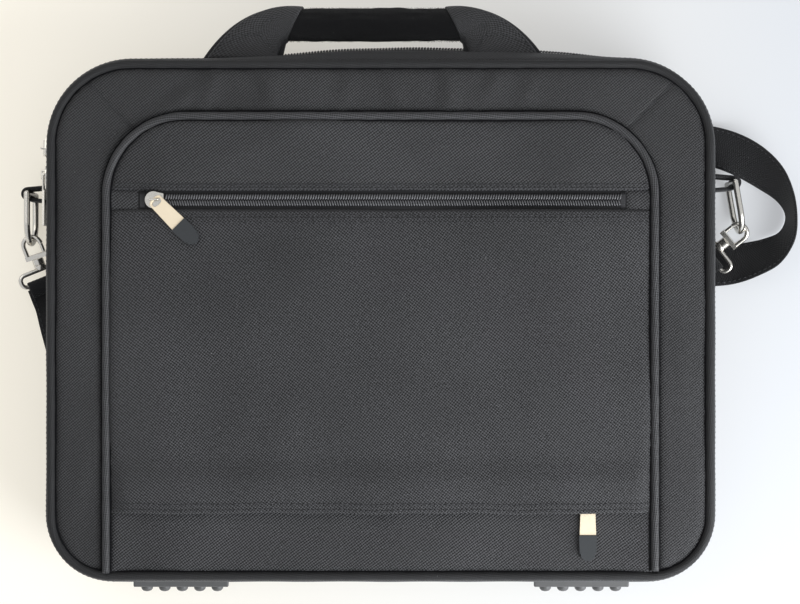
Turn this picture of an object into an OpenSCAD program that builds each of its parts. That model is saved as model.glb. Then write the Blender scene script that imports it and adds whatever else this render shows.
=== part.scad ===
// Soft-sided laptop briefcase, lying on its back: +Z up out of the front, +Y towards the handle.
// The origin is the centre of the flat middle of the back panel, on the surface it rests on.

/* [Case] */
// Width over the edge piping
case_w = 395; // [370:1:420]
// Height over the edge piping, without the handle
case_h = 308; // [290:1:330]
// Height of the top of the front edge piping above the table
case_d = 62.3; // [58:0.1:72]
// Radius of the two corners at the handle end
top_corner_r = 50; // [44:1:60]
// Radius of the two corners at the feet
bottom_corner_r = 38; // [34:1:46]
// Diameter of the piping sewn round both edges
piping_d = 4.6; // [3.6:0.1:5.6]
// How far the gusset swells out between the two edges
gusset_bulge = 4; // [3:0.5:9]
// Thickness of the padded gusset
gusset_t = 3; // [2:0.1:4]
// Room between the piping and the edges of the boards inside it
board_gap = 0.4; // [0.3:0.1:2]

/* [Back] */
// Height of the back edge above the table
back_lift = 8; // [7:0.5:10]
// Width of the sloping margin of the back
back_margin = 50; // [44:1:56]
// Thickness of the outer panels' fabric and foam
panel_t = 2.4; // [1.6:0.1:3]
// Thickness of the stiffening boards
board_t = 1.6; // [1.2:0.1:2.4]
// Thickness of the padded linings
lining_t = 3; // [2:0.1:4]
// Depth kept for the laptop between lining and divider
laptop_depth = 24; // [20:1:25]
// Thickness of the padded divider
divider_t = 4; // [3:0.1:5]
// Space between the divider and the gusset
divider_gap = 12; // [10:1:20]

/* [Main zip] */
// Width of one half of the main zip tape
main_tape_w = 11; // [9:0.5:13]
// Width of the closed main coil
main_coil_w = 8; // [6:0.1:9]
// Thickness of the main coil
main_coil_t = 2.6; // [2:0.1:3]
// Thickness of zip tape
tape_t = 0.9; // [0.6:0.1:1.2]
// Gap between the two halves where they part
part_gap = 0.4; // [0.3:0.05:0.8]

/* [Front] */
// Distance from the case's edge to the middle of the inner piping at the sides
frame_side_w = 35.2; // [32:0.2:40]
// Distance from the case's edge to the middle of the inner piping at the top
frame_top_w = 33.2; // [30:0.2:38]
// Corner radius of the inner piping
inner_corner_r = 47; // [40:1:54]
// Diameter of the inner piping
inner_piping_d = 4.4; // [3.4:0.1:5]
// Height step from the frame strips up to the middle panels
panel_step = 2; // [1:0.1:2.4]
// Depth of the front pocket behind the middle panels
pocket_depth = 5.4; // [4.8:0.1:6.5]
// Distance from the top edge to the pocket zip
pocket_zip_drop = 83; // [76:1:95]
// Opening between the panels along the pocket zip
zip_slot_w = 11; // [10:0.5:14]
// Distance from the bottom edge to the hem of the flap
hem_rise = 40.3; // [36:0.5:50]
// Thickness of the flap's hem
hem_t = 1.8; // [1.2:0.1:2.4]
// Distance that the hem covers below the hidden zip
hem_cover = 7; // [5:0.5:10]

/* [Small zips] */
// Width of the small coils
coil_w = 7.5; // [5:0.1:8]
// Thickness of the small coils
coil_t = 1.9; // [1.4:0.1:2.2]
// Width of the small zips' whole tape
tape_w = 32; // [28:1:36]
// Length of the closed coil of both small zips
coil_len = 270; // [240:1:280]
// Length of the bar tack at the end of the coil
stop_len = 3; // [2:0.5:5]

/* [Sliders] */
// Length of a slider's body
slider_len = 11; // [9:0.5:12]
// Width of a slider's body
slider_w = 10; // [9.6:0.1:10.8]
// Thickness of a slider's top plate
slider_t = 1.2; // [1:0.1:1.6]
// Diameter of the wire of a slider's bridge
bridge_d = 1.2; // [1:0.1:1.4]
// Distance between the legs of a slider's bridge
bridge_span = 4.6; // [4.2:0.1:5]
// Running clearance of all moving pieces
play = 0.3; // [0.3:0.05:0.5]
// Length of a front pull with its rubber tip
pull_len = 35.5; // [30:0.5:40]
// Width of a pull's metal at its far end
pull_w = 9.8; // [9.2:0.1:12]
// Thickness of a pull's metal
pull_t = 1.6; // [1.4:0.1:1.8]
// Length of the rubber tip
tip_len = 15; // [10:0.5:18]
// Thickness of the rubber tip
tip_t = 2.8; // [2.2:0.1:3]
// Length of a main zip pull
main_pull_len = 31; // [26:0.5:34]
// Angle of the pocket pull below the zip line
pocket_pull_yaw = 45; // [30:1:60]

/* [Handles] */
// Sideways place of the handles' middle
handle_x = -4; // [-8:1:8]
// Length of the padded grip
grip_len = 108; // [100:1:120]
// Diameter of the padded grip
grip_d = 20; // [18:0.5:22]
// Diameter of the core inside the grip
core_d = 12; // [10:0.5:14]
// Diameter of the back handle's rolled grip
back_grip_d = 8; // [6:0.5:9]
// Width of a handle's sewn root along the gusset
root_w = 42; // [36:1:44]
// Distance from the grip's end to the middle of the root
root_out = 25; // [22:1:32]
// Thickness of the handle webbing
handle_t = 3; // [2:0.2:3.6]
// Clear gap between gusset and grip
finger_gap = 10; // [7:0.5:13]
// Height of the hinge line of each handle from the case's edge piping
root_inset = 10; // [8:0.5:12]

/* [Rings and hooks] */
// Width of the ring tabs' webbing
tab_w = 20; // [18:1:20]
// Distance from the gusset's edge to the ring's bar
ring_out = 19; // [17:0.5:21]
// Distance of the left ring's bar above the case's middle
left_ring_y = 77; // [70:1:78]
// Distance of the right ring's bar above the case's middle
right_ring_y = 84; // [74:1:88]
// Height of the ring's middle above the table
ring_z = 15.6; // [15:0.1:16]
// Diameter of the ring's wire
ring_wire = 3.8; // [3.2:0.1:4]
// Length of the ring from the bar to its bow
ring_len = 30; // [26:0.5:32]
// Diameter of the hook's wire
hook_wire = 2.8; // [2.4:0.1:3]
// Inner width of the hook
hook_in_w = 8; // [7.4:0.1:9]
// Inner length of the hook
hook_in_len = 10; // [9:0.5:12]
// Diameter of the hook's swivel barrel
barrel_d = 7; // [6:0.2:8]
// Length of the hook's swivel barrel
barrel_len = 3.5; // [3:0.5:5]
// Diameter of the swivel loop's wire
loop_wire = 2.6; // [2.2:0.1:3]
// Inner length of the swivel loop
loop_in_len = 5; // [4.5:0.5:7]
// Outward tilt of the right ring
right_tilt = 10; // [4:1:14]
// Turn of the left hook towards the case
left_hook_yaw = 18; // [10:1:22]
// Drop of the left hook towards the table
left_hook_drop = 16; // [10:1:18]
// Turn of the right hook towards the case
right_hook_yaw = 50; // [40:1:54]
// Drop of the right hook towards the table
right_hook_drop = 25; // [18:1:27]

/* [Feet] */
// Length of a foot
foot_len = 58; // [50:1:66]
// Width of a foot
foot_w = 15; // [12:0.5:18]
// Thickness of a foot's base plate
foot_plate = 2.6; // [2:0.1:4]
// Height of a foot over its lugs
foot_h = 11.5; // [8:0.5:13]
// Diameter of a lug
lug_d = 6; // [5:0.1:7]
// Number of lugs on a foot
lug_count = 5; // [3:1:5]
// Distance between lugs
lug_pitch = 10.5; // [9:0.1:11]
// Distance of each foot from the middle
foot_x = 122.5; // [110:0.5:125]
// Distance between a foot's two rivets
rivet_pitch = 31.5; // [20:0.5:40]

/* [Shoulder strap] */
// Width of the strap webbing
strap_w = 25; // [24:0.5:26]
// Thickness of the strap webbing
strap_t = 1.4; // [1:0.1:1.8]
// Length of the strap adjuster along the strap
adjuster_len = 16; // [12:1:20]
// Thickness of the strap adjuster
adjuster_t = 1.2; // [1:0.1:1.4]

/* [Hidden] */
$fn = 64;
hull_fn = 32;
eps = 0.01;
piping_r = piping_d / 2;
back_z = back_lift + piping_r;
front_z = case_d - piping_r;
part_z = (back_z + front_z) / 2;
half_depth = (front_z - back_z) / 2;
half_w = case_w / 2;
half_h = case_h / 2;
wall_back_z = back_z + piping_r;
wall_front_z = front_z - piping_r;
coil_back_z = part_z - main_coil_w / 2;
coil_front_z = part_z + main_coil_w / 2;
tape_back_z = coil_back_z - main_tape_w;
tape_front_z = coil_front_z + main_tape_w;
tape_drop = main_coil_t - tape_t;
board_edge = piping_d + board_gap;
back_board_z = back_lift + panel_t;
back_lining_z = back_board_z + board_t;
divider_z = back_lining_z + lining_t + laptop_depth;
divider_strap_w = 40;
divider_strap_t = 1.5;
divider_strap_reach = 45;
rivet_d = 3.2;
rivet_head_d = 4;
rivet_head_t = 0.8;
tab_wrap = 2.2;
tab_root = 6;

// Heights in the front
frame_z = front_z + 1;
panel_z = frame_z + panel_step - panel_t;
panel_top = panel_z + panel_t;
front_board_z = panel_z - pocket_depth - board_t;
front_lining_z = front_board_z - lining_t;
inner_piping_r = inner_piping_d / 2;
inner_x = half_w - frame_side_w;
inner_top = half_h - frame_top_w;
inner_piping_z = frame_z + 1;
mitre_shift = 33;
clear_x = inner_x - inner_piping_r;

// The two small zips: each slider starts at one end of its coil
pocket_zip_y = half_h - pocket_zip_drop;
hem_y = hem_rise - half_h;
lower_zip_y = hem_y + hem_cover;
pocket_coil_x = 7;
lower_coil_x = -18;
pocket_slider_x = pocket_coil_x - coil_len / 2 - slider_len / 2;
lower_slider_x = lower_coil_x + coil_len / 2 + slider_len / 2;

// Heights over the tape of a slider on a coil, from the tape up
function plate_top(coil) = coil + play + slider_t;
function pull_axis(coil) = plate_top(coil) + play + pull_t / 2;
function bridge_axis(coil) = pull_axis(coil) + pull_t / 2 + play + bridge_d / 2;
function slider_top(coil) = bridge_axis(coil) + bridge_d / 2;
hem_lift = 1.4;
hem_z = panel_top + hem_lift;
lower_tape_z = hem_z - play - slider_top(coil_t);
lower_panel_top = lower_tape_z + pull_axis(coil_t) - tip_t / 2 - play;
hem_slope = 17;
hem_flat = hem_cover + slider_w / 2 + 5;

// Places of the main sliders on the left side
upper_slider_y = half_h - top_corner_r;
lower_main_gap = 5;
main_slider_gap = slider_len + lower_main_gap;
lower_main_y = upper_slider_y - main_slider_gap;
eye_half = bridge_span / 2 + bridge_d / 2 + play;
eye_room = 3;
eye_len = bridge_span + bridge_d + eye_room;

// Feet
foot_low = wall_back_z;
foot_high = wall_back_z + foot_w;
foot_mid = (foot_low + foot_high) / 2;
foot_face = half_h + swell(foot_high) + foot_plate;

// Handles
front_root_z = front_z - root_inset;
back_root_z = back_z + root_inset;
root_y = half_h + swell(front_root_z) + handle_t / 2 + play;
grip_y = half_h + gusset_bulge + finger_gap + grip_d / 2;
grip_z = part_z + 5;
back_grip_z = grip_z - grip_d / 2 - play - back_grip_d / 2;
root_start = 0.5;

// Rings and hooks
ring_r = ring_wire / 2;
hook_r = hook_wire / 2;
loop_r = loop_wire / 2;
ring_half = tab_w / 2 + play + ring_r;
crown_r = hook_in_w / 2 + hook_r;
hook_slack = 0.7;
crown_y = ring_r + hook_slack + hook_r - crown_r;
hook_base_y = ring_r + hook_slack + hook_r - hook_in_len - hook_wire;
barrel_y = hook_base_y - hook_r;
hub_len = 3;
hub_y = barrel_y - barrel_len - play;
pin_d = 3;
pin_reach = 1.8;
loop_bite = 1;
loop_near_y = hub_y - hub_len - loop_r + loop_bite;
loop_far_y = loop_near_y - loop_in_len - loop_wire;
loop_room = 0.8;
loop_half = strap_w / 2 + loop_room + loop_r;
gate_d = hook_wire * 0.8;
gate_gap = 0.5;
gate_len = crown_y - hook_base_y - hook_r - 2 * gate_gap;
left_loop_lean = 20;
right_loop_lean = 5;
strap_lie = 0.8;
adjuster_bar = 3;
adjuster_x = 186;
adjuster_y = -40;

// How far the gusset stands out of the case's edge at a height
function swell(z) = gusset_bulge * (1 - pow((z - part_z) / half_depth, 2));

// ---- Outlines and runs round the edge ----

// The case's outline, drawn in from its edge by inset
module round_plate(inset) {
  w = half_w - inset;
  h = half_h - inset;
  top_r = max(top_corner_r - inset, 6);
  bottom_r = max(bottom_corner_r - inset, 6);
  translate([-w, bottom_r - h]) square([2 * w, 2 * h - top_r - bottom_r]);
  translate([top_r - w, 0]) square([2 * (w - top_r), h]);
  translate([bottom_r - w, -h]) square([2 * (w - bottom_r), h]);
  for (side = [-1, 1]) {
    translate([side * (w - top_r), h - top_r]) circle(top_r);
    translate([side * (w - bottom_r), bottom_r - h]) circle(bottom_r);
  }
}

// The area inside the inner piping, grown by grow; it runs out past the bottom
module inner_area(grow) {
  r = inner_corner_r + grow;
  x = inner_x + grow;
  y = inner_top + grow;
  translate([-x, -half_h]) square([2 * x, half_h + y - r]);
  translate([r - x, 0]) square([2 * (x - r), y]);
  for (side = [-1, 1]) translate([side * (x - r), y - r]) circle(r);
}

// A profile's x is its distance outwards from the edge and its y is its height
module run_side(x, y_top, y_bottom) {
  translate([x, y_top, 0]) rotate([90, 0, 0]) linear_extrude(y_top - y_bottom) children();
}

module run_across(x, y) {
  translate([-x, y, 0]) rotate([90, 0, 90]) linear_extrude(2 * x) children();
}

module run_corner(x, y, r, turn) {
  translate([x, y, 0]) rotate([0, 0, turn]) rotate_extrude(angle = 90) translate([r, 0]) children();
}

// Both sides, the top and all four corners: the way the main zip goes
module zip_run() {
  for (side = [0, 1]) mirror([side, 0, 0]) {
    run_side(half_w, half_h - top_corner_r, bottom_corner_r - half_h) children();
    run_corner(half_w - top_corner_r, half_h - top_corner_r, top_corner_r, 0) children();
    run_corner(half_w - bottom_corner_r, bottom_corner_r - half_h, bottom_corner_r, -90) children();
  }
  run_across(half_w - top_corner_r, half_h) children();
}

module bottom_run() {
  mirror([0, 1, 0]) run_across(half_w - bottom_corner_r, half_h) children();
}

// A wall that follows the gusset's swell from height z0 to z1, drop inside its outer face
module wall_profile(z0, z1, thick, drop = 0) {
  steps = 5;
  heights = [for (i = [0:steps]) z0 + (z1 - z0) * i / steps];
  outer = [for (z = heights) [swell(z) - drop, z]];
  inner = [for (i = [steps:-1:0]) [swell(heights[i]) - drop - thick, heights[i]]];
  polygon(concat(outer, inner));
}

// ---- Back half ----

// The domed shape of the back: flat in the middle, rising towards the edge
module back_dish(top_t) {
  hull() {
    linear_extrude(eps) round_plate(back_margin, $fn = hull_fn);
    translate([0, 0, back_lift]) linear_extrude(top_t) round_plate(piping_d, $fn = hull_fn);
  }
}

module back_panel() {
  color([0.24, 0.24, 0.26]) difference() {
    back_dish(panel_t);
    translate([0, 0, panel_t]) back_dish(panel_t);
  }
}

module back_foam() {
  color([0.5, 0.5, 0.5]) hull() {
    translate([0, 0, panel_t]) linear_extrude(eps) round_plate(back_margin, $fn = hull_fn);
    translate([0, 0, back_board_z - eps]) linear_extrude(eps) round_plate(board_edge, $fn = hull_fn);
  }
}

module back_board() {
  color([0.6, 0.55, 0.45]) translate([0, 0, back_board_z]) linear_extrude(board_t) round_plate(board_edge);
}

module back_lining() {
  color([0.16, 0.16, 0.17]) translate([0, 0, back_lining_z]) linear_extrude(lining_t) round_plate(board_edge);
}

module piping_section(z) {
  translate([-piping_r, z]) circle(piping_r);
}

module back_piping() {
  color([0.22, 0.22, 0.24]) {
    zip_run() piping_section(back_z);
    bottom_run() piping_section(back_z);
  }
}

module back_gusset() {
  color([0.25, 0.25, 0.27]) zip_run() wall_profile(wall_back_z, tape_back_z, gusset_t);
}

module bottom_gusset() {
  color([0.25, 0.25, 0.27]) bottom_run() wall_profile(wall_back_z, part_z - part_gap / 2, gusset_t);
}

module back_zip_tape() {
  color([0.1, 0.1, 0.11]) zip_run() wall_profile(tape_back_z, coil_back_z, tape_t, tape_drop);
}

module back_zip_coil() {
  color([0.08, 0.08, 0.09]) zip_run() wall_profile(coil_back_z, part_z - part_gap / 2, main_coil_t);
}

// The padded divider over the laptop, with the wall under it at the feet's end
module laptop_divider() {
  inset = divider_gap + piping_d;
  wall_half = half_w - bottom_corner_r;
  color([0.16, 0.16, 0.17]) {
    translate([0, 0, divider_z]) linear_extrude(divider_t) difference() {
      round_plate(inset);
      translate([-half_w, half_h - 2 * divider_strap_reach]) square([case_w, case_h]);
    }
    translate([-wall_half, inset - half_h, divider_z - laptop_depth])
      cube([2 * wall_half, divider_t, laptop_depth + divider_t]);
  }
}

// Strap that holds the laptop: up the wall from the lining, then over the divider
module divider_strap() {
  wall_y = half_h - divider_gap;
  color([0.12, 0.12, 0.13]) {
    translate([-divider_strap_w / 2, wall_y, back_lining_z + lining_t])
      cube([divider_strap_w, divider_strap_t, laptop_depth + divider_t + divider_strap_t]);
    translate([-divider_strap_w / 2, half_h - 3 * divider_strap_reach, divider_z + divider_t])
      cube([divider_strap_w, wall_y - half_h + 3 * divider_strap_reach, divider_strap_t]);
  }
}

// A foot's face is upright, so its plate is thicker where the gusset curves away
module foot_section() {
  steps = 4;
  heights = [for (i = [0:steps]) foot_low + foot_w * i / steps];
  polygon(concat([for (z = heights) [-half_h - swell(z), z]], [[-foot_face, foot_high], [-foot_face, foot_low]]));
}

module rivet_places() {
  for (foot = [-1, 1]) for (side = [-1, 1])
    translate([foot * foot_x + side * rivet_pitch / 2, -half_h - swell(foot_mid + rivet_d / 2), foot_mid])
      rotate([90, 0, 0]) children();
}

// Each foot is a plate with a row of round lugs
module feet() {
  rivet_len = foot_face - half_h;
  color([0.09, 0.09, 0.1]) difference() {
    for (foot = [-1, 1]) translate([foot * foot_x, 0, 0]) {
      translate([-foot_len / 2, 0, 0]) rotate([90, 0, 90]) linear_extrude(foot_len) foot_section();
      for (i = [0:lug_count - 1]) translate([(i - (lug_count - 1) / 2) * lug_pitch, -foot_face, foot_mid])
        rotate([90, 0, 0]) cylinder(d = lug_d, h = foot_h - foot_plate);
    }
    rivet_places() translate([0, 0, -1]) cylinder(d = rivet_d, h = rivet_len);
  }
}

// Rivets that hold each foot's plate on the gusset
module foot_rivets() {
  shank = foot_face - half_h - swell(foot_mid + rivet_d / 2);
  color([0.7, 0.69, 0.66]) rivet_places() {
    cylinder(d = rivet_d, h = shank);
    translate([0, 0, shank]) cylinder(d = rivet_head_d, h = rivet_head_t);
  }
}

// A webbing tab folded round a ring's bar, for the left side, sewn on the gusset and the zip tape
module ring_tab(y) {
  root_x = -half_w - play;
  bar_x = -half_w - ring_out;
  fold_r = ring_r + play + tab_wrap;
  color([0.07, 0.07, 0.08]) difference() {
    translate([0, y, ring_z - tab_w / 2]) linear_extrude(tab_w) difference() {
      union() {
        polygon([[root_x, -tab_root], [root_x, tab_root], [bar_x, fold_r], [bar_x, -fold_r]]);
        translate([bar_x, 0]) circle(fold_r);
      }
      translate([bar_x, 0]) circle(ring_r + play);
    }
    mirror([1, 0, 0]) run_side(half_w, y + 2 * tab_root, y - 2 * tab_root) {
      wall_profile(wall_back_z, tape_back_z, 2 * gusset_t);
      wall_profile(tape_back_z, coil_back_z, 2 * gusset_t, tape_drop);
    }
  }
}

module left_ring_tab() ring_tab(left_ring_y);

module right_ring_tab() mirror([1, 0, 0]) ring_tab(right_ring_y);

// Short webbing blocks that join a handle to the gusset, on the far side of its fold line
module handle_root(root_z, side) {
  low_z = root_z - side * handle_t / 2;
  high_z = root_z - side * root_start * 0.8;
  base_y = half_h + swell(low_z);
  color([0.07, 0.07, 0.08]) for (end = [-1, 1])
    translate([handle_x + end * (grip_len / 2 + root_out) - root_w / 2, base_y, min(low_z, high_z)])
      cube([root_w, root_y - base_y, abs(high_z - low_z)]);
}

module back_handle_root() handle_root(back_root_z, -1);

// ---- Front half, which opens as the lid ----

module front_piping() {
  color([0.22, 0.22, 0.24]) {
    zip_run() piping_section(front_z);
    bottom_run() piping_section(front_z);
  }
}

module front_gusset() {
  color([0.25, 0.25, 0.27]) zip_run() wall_profile(tape_front_z, wall_front_z, gusset_t);
}

module lid_bottom_gusset() {
  color([0.25, 0.25, 0.27]) bottom_run() wall_profile(part_z + part_gap / 2, wall_front_z, gusset_t);
}

module front_zip_tape() {
  color([0.1, 0.1, 0.11]) zip_run() wall_profile(coil_front_z, tape_front_z, tape_t, tape_drop);
}

module front_zip_coil() {
  color([0.08, 0.08, 0.09]) zip_run() wall_profile(part_z + part_gap / 2, coil_front_z, main_coil_t);
}

// The frame round the middle panels, which is mitred at the two top corners
module frame_strips() {
  translate([0, 0, frame_z - panel_t]) linear_extrude(panel_t) difference() {
    round_plate(piping_d);
    inner_area(inner_piping_r);
  }
}

module mitre_wedge() {
  reach = case_w;
  translate([0, 0, frame_z - 2 * panel_t]) linear_extrude(3 * panel_t)
    polygon([[0, -mitre_shift], [reach, reach - mitre_shift], [-reach, reach - mitre_shift]]);
}

module side_frame(side) {
  color([0.27, 0.27, 0.29]) difference() {
    frame_strips();
    mitre_wedge();
    translate([side > 0 ? -case_w : 0, -case_h, 0]) cube([case_w, 2 * case_h, 2 * case_d]);
  }
}

module left_frame() side_frame(-1);

module right_frame() side_frame(1);

module top_frame() {
  color([0.27, 0.27, 0.29]) intersection() {
    frame_strips();
    mitre_wedge();
  }
}

module inner_piping() {
  end_y = piping_d - half_h;
  corner_x = inner_x - inner_corner_r;
  corner_y = inner_top - inner_corner_r;
  color([0.22, 0.22, 0.24]) {
    for (side = [0, 1]) mirror([side, 0, 0]) {
      run_side(inner_x, corner_y, end_y) translate([0, inner_piping_z]) circle(inner_piping_r);
      run_corner(corner_x, corner_y, inner_corner_r, 0) translate([0, inner_piping_z]) circle(inner_piping_r);
    }
    run_across(corner_x, inner_top) translate([0, inner_piping_z]) circle(inner_piping_r);
  }
}

// The slice of the middle area between two places up the case
module panel_slice(y_low, y_high) {
  intersection() {
    round_plate(piping_d);
    inner_area(-inner_piping_r);
    translate([-half_w, y_low]) square([case_w, y_high - y_low]);
  }
}

module upper_panel() {
  color([0.23, 0.23, 0.25]) translate([0, 0, panel_z]) linear_extrude(panel_t)
    panel_slice(pocket_zip_y + zip_slot_w / 2, half_h);
}

// The big panel, whose hem stands over the hidden zip
module flap_panel() {
  top_y = pocket_zip_y - zip_slot_w / 2;
  flat_y = hem_y + hem_flat;
  slope_y = flat_y + hem_slope;
  hem_top = hem_z + hem_t;
  color([0.23, 0.23, 0.25]) translate([-clear_x, 0, 0]) rotate([90, 0, 90]) linear_extrude(2 * clear_x)
    polygon([
      [top_y, panel_z], [top_y, panel_top], [slope_y, panel_top], [flat_y, hem_top],
      [hem_y, hem_top], [hem_y, hem_z], [flat_y, hem_z], [slope_y, panel_z]
    ]);
}

module lower_panel() {
  color([0.23, 0.23, 0.25]) translate([0, 0, lower_tape_z]) linear_extrude(lower_panel_top - lower_tape_z)
    panel_slice(-half_h, lower_zip_y - zip_slot_w / 2);
}

module zip_tape(y, z) {
  color([0.09, 0.09, 0.1]) translate([-clear_x, y - tape_w / 2, z - tape_t]) cube([2 * clear_x, tape_w, tape_t]);
}

module zip_coil(x, y, z) {
  color([0.06, 0.06, 0.07]) translate([x - coil_len / 2, y - coil_w / 2, z]) cube([coil_len, coil_w, coil_t]);
}

module pocket_zip_tape() zip_tape(pocket_zip_y, panel_z);

module pocket_zip_coil() zip_coil(pocket_coil_x, pocket_zip_y, panel_z);

// Bar tacks: one past the coil's end, one behind the parked slider
module pocket_zip_stops() {
  starts = [pocket_coil_x + coil_len / 2, pocket_slider_x - slider_len / 2 - play - stop_len];
  color([0.12, 0.12, 0.13]) for (x = starts)
    translate([x, pocket_zip_y - zip_slot_w / 2, panel_z]) cube([stop_len, zip_slot_w, coil_t / 2]);
}

module lower_zip_tape() zip_tape(lower_zip_y, lower_tape_z);

module lower_zip_coil() zip_coil(lower_coil_x, lower_zip_y, lower_tape_z);

module lid_board() {
  color([0.6, 0.55, 0.45]) translate([0, 0, front_board_z]) linear_extrude(board_t)
    round_plate(gusset_t - swell(front_board_z + board_t) + play);
}

module lid_lining() {
  color([0.16, 0.16, 0.17]) translate([0, 0, front_lining_z]) linear_extrude(lining_t)
    round_plate(gusset_t - swell(front_board_z) + play);
}

module front_handle_root() handle_root(front_root_z, 1);

// ---- Sliders and pulls: x runs along the zip and z out of it, from the tape's face ----

// A slider's cap over the coil, with the flanges it has on the sides listed in flanges.
// Its bridge runs along the zip, or across it where bridge_turn is 90.
module slider(coil, closed_w, flanges, bridge_turn = 0) {
  top = plate_top(coil);
  bridge_h = bridge_axis(coil);
  half = slider_len / 2;
  shoulder = slider_w * 0.36;
  difference() {
    translate([0, 0, play]) linear_extrude(top - play) union() {
      translate([slider_w / 2 - half, 0]) circle(slider_w / 2);
      polygon([[0, -slider_w / 2], [half, -shoulder], [half, shoulder], [0, slider_w / 2], [-half / 2, 0]]);
    }
    translate([-slider_len, -closed_w / 2 - play, -eps]) cube([2 * slider_len, closed_w + 2 * play, coil + play]);
    for (side = [-1, 1]) if (len(search(side, flanges)) == 0)
      translate([-slider_len, side > 0 ? 0 : -slider_w, -eps]) cube([2 * slider_len, slider_w, coil + play]);
  }
  rotate([0, 0, bridge_turn]) {
    translate([-bridge_span / 2, 0, bridge_h]) rotate([0, 90, 0]) cylinder(d = bridge_d, h = bridge_span);
    for (end = [-1, 1]) translate([end * bridge_span / 2, 0, 0]) {
      translate([0, 0, top]) cylinder(d = bridge_d, h = bridge_h - top);
      translate([0, 0, bridge_h]) sphere(d = bridge_d);
    }
  }
}

// A pull's wire eye and its metal plate, from the eye's outer rod along +x
module pull(plate_end) {
  rod = pull_t / 2;
  side_y = eye_half + rod;
  neck = eye_len + rod;
  for (side = [-1, 1]) translate([0, side * side_y, 0]) rotate([0, 90, 0]) cylinder(r = rod * 0.95, h = neck);
  translate([0, -side_y - rod, 0]) rotate([-90, 0, 0]) cylinder(r = rod, h = 2 * (side_y + rod));
  plate_t = pull_t * 0.85;
  plate_start = side_y + rod / 2;
  translate([0, 0, -plate_t / 2]) linear_extrude(plate_t) polygon([
    [eye_len, -plate_start], [plate_end, -pull_w / 2], [plate_end, pull_w / 2], [eye_len, plate_start]
  ]);
}

// The rubber tip over the plate's end
module pull_tip(start) {
  round_r = pull_w * 0.42;
  wide = pull_w + 0.8;
  color([0.2, 0.2, 0.22]) translate([start, 0, -tip_t / 2]) linear_extrude(tip_t) {
    polygon([
      [0, -wide / 2], [tip_len - round_r, -wide / 2 + 0.4], [tip_len - round_r, wide / 2 - 0.4], [0, wide / 2]
    ]);
    translate([tip_len - round_r, -round_r]) square([round_r / 2, 2 * round_r]);
    translate([tip_len - round_r, 0]) circle(round_r);
  }
}

module at_pocket_slider() translate([pocket_slider_x, pocket_zip_y, panel_z]) children();

module at_lower_slider() translate([lower_slider_x, lower_zip_y, lower_tape_z]) children();

// A main slider rides outside the coil on the left; way is -1 towards the feet and 1 towards the handle
module at_main_slider(y, way) {
  translate([tape_drop - half_w - gusset_bulge, y, part_z])
    rotate([-90 * way, 0, 0]) rotate([0, -90, 0]) children();
}

module pocket_slider() {
  color([0.78, 0.76, 0.72]) at_pocket_slider() slider(coil_t, coil_w, [-1, 1]);
}

module at_pocket_pull() {
  at_pocket_slider() translate([0, 0, pull_axis(coil_t)]) rotate([0, 0, -pocket_pull_yaw]) children();
}

module pocket_pull() color([0.8, 0.78, 0.74]) at_pocket_pull() pull(pull_len - tip_len);

module pocket_pull_tip() at_pocket_pull() pull_tip(pull_len - tip_len);

module lower_slider() {
  color([0.78, 0.76, 0.72]) at_lower_slider() slider(coil_t, coil_w, [-1, 1], 90);
}

module at_lower_pull() {
  at_lower_slider() translate([0, 0, pull_axis(coil_t)]) rotate([0, 0, -90]) children();
}

module lower_pull() color([0.8, 0.78, 0.74]) at_lower_pull() pull(pull_len - tip_len);

module lower_pull_tip() at_lower_pull() pull_tip(pull_len - tip_len);

module main_slider(y, way, bridge_turn) {
  color([0.78, 0.76, 0.72]) at_main_slider(y, way) slider(tape_drop, main_coil_w, [way], bridge_turn);
}

module main_pull(y, way, turn) {
  color([0.8, 0.78, 0.74]) at_main_slider(y, way) translate([0, 0, pull_axis(tape_drop)])
    rotate([0, 0, turn]) pull(main_pull_len);
}

// The upper pull hangs over the back gusset, out of sight from the front, and the lower one lies along the zip
module upper_main_slider() main_slider(upper_slider_y, 1, 90);

module upper_main_pull() main_pull(upper_slider_y, 1, 90);

module lower_main_slider() main_slider(lower_main_y, -1, 0);

module lower_main_pull() main_pull(lower_main_y, -1, 0);

// ---- Handles ----

// One webbing ear from its fold line on the gusset to an end of the grip
module handle_ear(end, root_z, top_z, top_w) {
  hull() {
    translate([handle_x + end * (grip_len / 2 + root_out) - root_w / 2, root_y + root_start,
      root_z - handle_t / 2]) cube([root_w, 1, handle_t]);
    translate([handle_x + end * grip_len / 2 - (end < 0 ? 2 : 0), grip_y - top_w / 2, top_z - handle_t / 2])
      cube([2, top_w, handle_t]);
  }
}

module front_handle() {
  color([0.09, 0.09, 0.1]) for (end = [-1, 1]) handle_ear(end, front_root_z, grip_z, grip_d * 0.9);
}

module along_grip(z) {
  translate([handle_x - grip_len / 2, grip_y, z]) rotate([0, 90, 0]) children();
}

module handle_core() color([0.3, 0.3, 0.3]) along_grip(grip_z) cylinder(d = core_d, h = grip_len);

module grip_wrap() {
  color([0.06, 0.06, 0.07]) along_grip(grip_z) difference() {
    cylinder(d = grip_d, h = grip_len);
    translate([0, 0, -1]) cylinder(d = core_d, h = grip_len + 2);
  }
}

module back_handle() {
  color([0.08, 0.08, 0.09]) {
    for (end = [-1, 1]) handle_ear(end, back_root_z, back_grip_z, back_grip_d);
    along_grip(back_grip_z) cylinder(d = back_grip_d, h = grip_len);
  }
}

// ---- Rings, hooks and gates, drawn for the left side ----

module at_ring(y, tilt) {
  translate([-half_w - ring_out, y, ring_z]) rotate([0, 0, -tilt]) children();
}

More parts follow.
